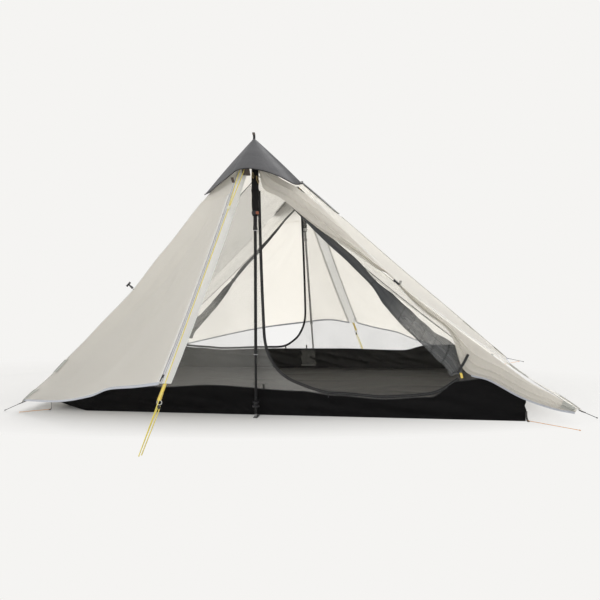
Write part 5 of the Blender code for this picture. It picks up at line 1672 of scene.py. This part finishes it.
def tub_tabs():
    """The tabs that hold the tub's corners."""
    for sign_x, right in ((-1, "left"), (1, "right")):
        for sign_y, front in ((-1, "front_"), (1, "back_")):
            foot = Vector((sign_x * TUB_LENGTH / 2, sign_y * TUB_WIDTH / 2, 0.004))
            way = Vector((sign_x, sign_y * 0.8, 0.0)).normalized()
            raised = 0.040 + corner_lift(foot.x, foot.y)
            route = [foot + Z * raised + way * 0.0012, foot + Z * 0.016 + way * 0.002,
                     foot + way * 0.008, foot + way * 0.016]
            tape("tub_corner_tab_" + front + right, smooth(route, 14), way.cross(Z), 0.016,
                 WEB_BLACK, 0.0016)


def loops_and_tags():
    """The tan loops at the near peak, and the strap and tag at the rolled door's foot."""
    swing = Vector((0.004, 0.0, 0.001))
    for number, (top, low) in enumerate(PEAK_LOOPS):
        top = Vector(top)
        low = Vector(low)
        bow = top.lerp(low, 0.6)
        route = [top - swing * 0.4, bow - swing, low, bow + swing, top + swing * 0.4]
        tube("peak_loop_" + str(number + 1), smooth(route, 22), 0.0017, WEB_TAN, 8, 0.6)
    tape("roll_strap", smooth(ROLL_STRAP, 16), Vector((0.9, 0.0, -0.45)), 0.011, WEB_BLACK, 0.0016)
    tape("roll_tag", smooth(ROLL_TAG, 12), Vector((1.0, 0.0, 0.1)), 0.010, WEB_YELLOW, 0.0018)


# Scene

def camera():
    """The camera at the photograph's place and angle."""
    data = bpy.data.cameras.new("camera")
    data.lens = CAMERA_LENS
    data.sensor_width = SENSOR
    data.sensor_height = SENSOR
    data.sensor_fit = "HORIZONTAL"
    item = linked("camera", data)
    right = Vector(CAMERA_RIGHT).normalized()
    up = Vector(CAMERA_UP)
    up = (up - right * up.dot(right)).normalized()
    turn = Matrix((right, up, right.cross(up))).transposed().to_4x4()
    item.matrix_world = Matrix.Translation(CAMERA_AT) @ turn
    bpy.context.scene.camera = item


def studio():
    """A pale floor under an even sky, with one soft lamp behind and one in front."""
    scene = bpy.context.scene
    scene.view_settings.view_transform = "Standard"
    world = bpy.data.worlds.new("studio sky")
    scene.world = world
    world.use_nodes = True
    sky = Nodes(world.node_tree)
    light = sky.tree.nodes["Background"]
    light.inputs["Color"].default_value = SKY_LIGHT
    light.inputs["Strength"].default_value = SKY_STRENGTH
    seen = sky.node("ShaderNodeBackground", values={"Color": SKY_COLOUR})
    rays = sky.node("ShaderNodeLightPath").outputs["Is Camera Ray"]
    sky.mix_shaders(rays, light, seen, "World Output")
    for name, (strength, aim, angle) in LAMPS.items():
        data = bpy.data.lights.new(name, "SUN")
        data.energy = strength
        data.angle = radians(angle)
        item = linked(name, data)
        item.rotation_euler = Vector(aim).to_track_quat("-Z", "Y").to_euler()
    mesh = bmesh.new()
    bmesh.ops.create_circle(mesh, cap_ends=True, segments=64, radius=60.0)
    data = bpy.data.meshes.new("floor")
    mesh.to_mesh(data)
    mesh.free()
    floor = linked("floor", data)
    floor.location.z = -0.0005
    paint = Paint("studio floor", None, FLOOR_COLOUR, 1.0, specular=0.0)
    fade_to_sky(paint)
    data.materials.append(paint.material)


def main():
    """Dress the tent."""
    camera()
    corner_cords()
    for name, side in (("front", 1), ("back", -1)):
        for make in (guys, cap, strip, inner_wall, inner_zip, rolled_door, strap_and_foot, pole,
                     sliders, brow_stay, band_foot):
            make(name, side)
    end_panel("left", -1)
    end_panel("right", 1)
    for make in (closed_doors, hip_seams, tied_door, tub, inner_panels, pocket, toggles, corners,
                 tub_tabs, loops_and_tags, studio):
        make()


main()
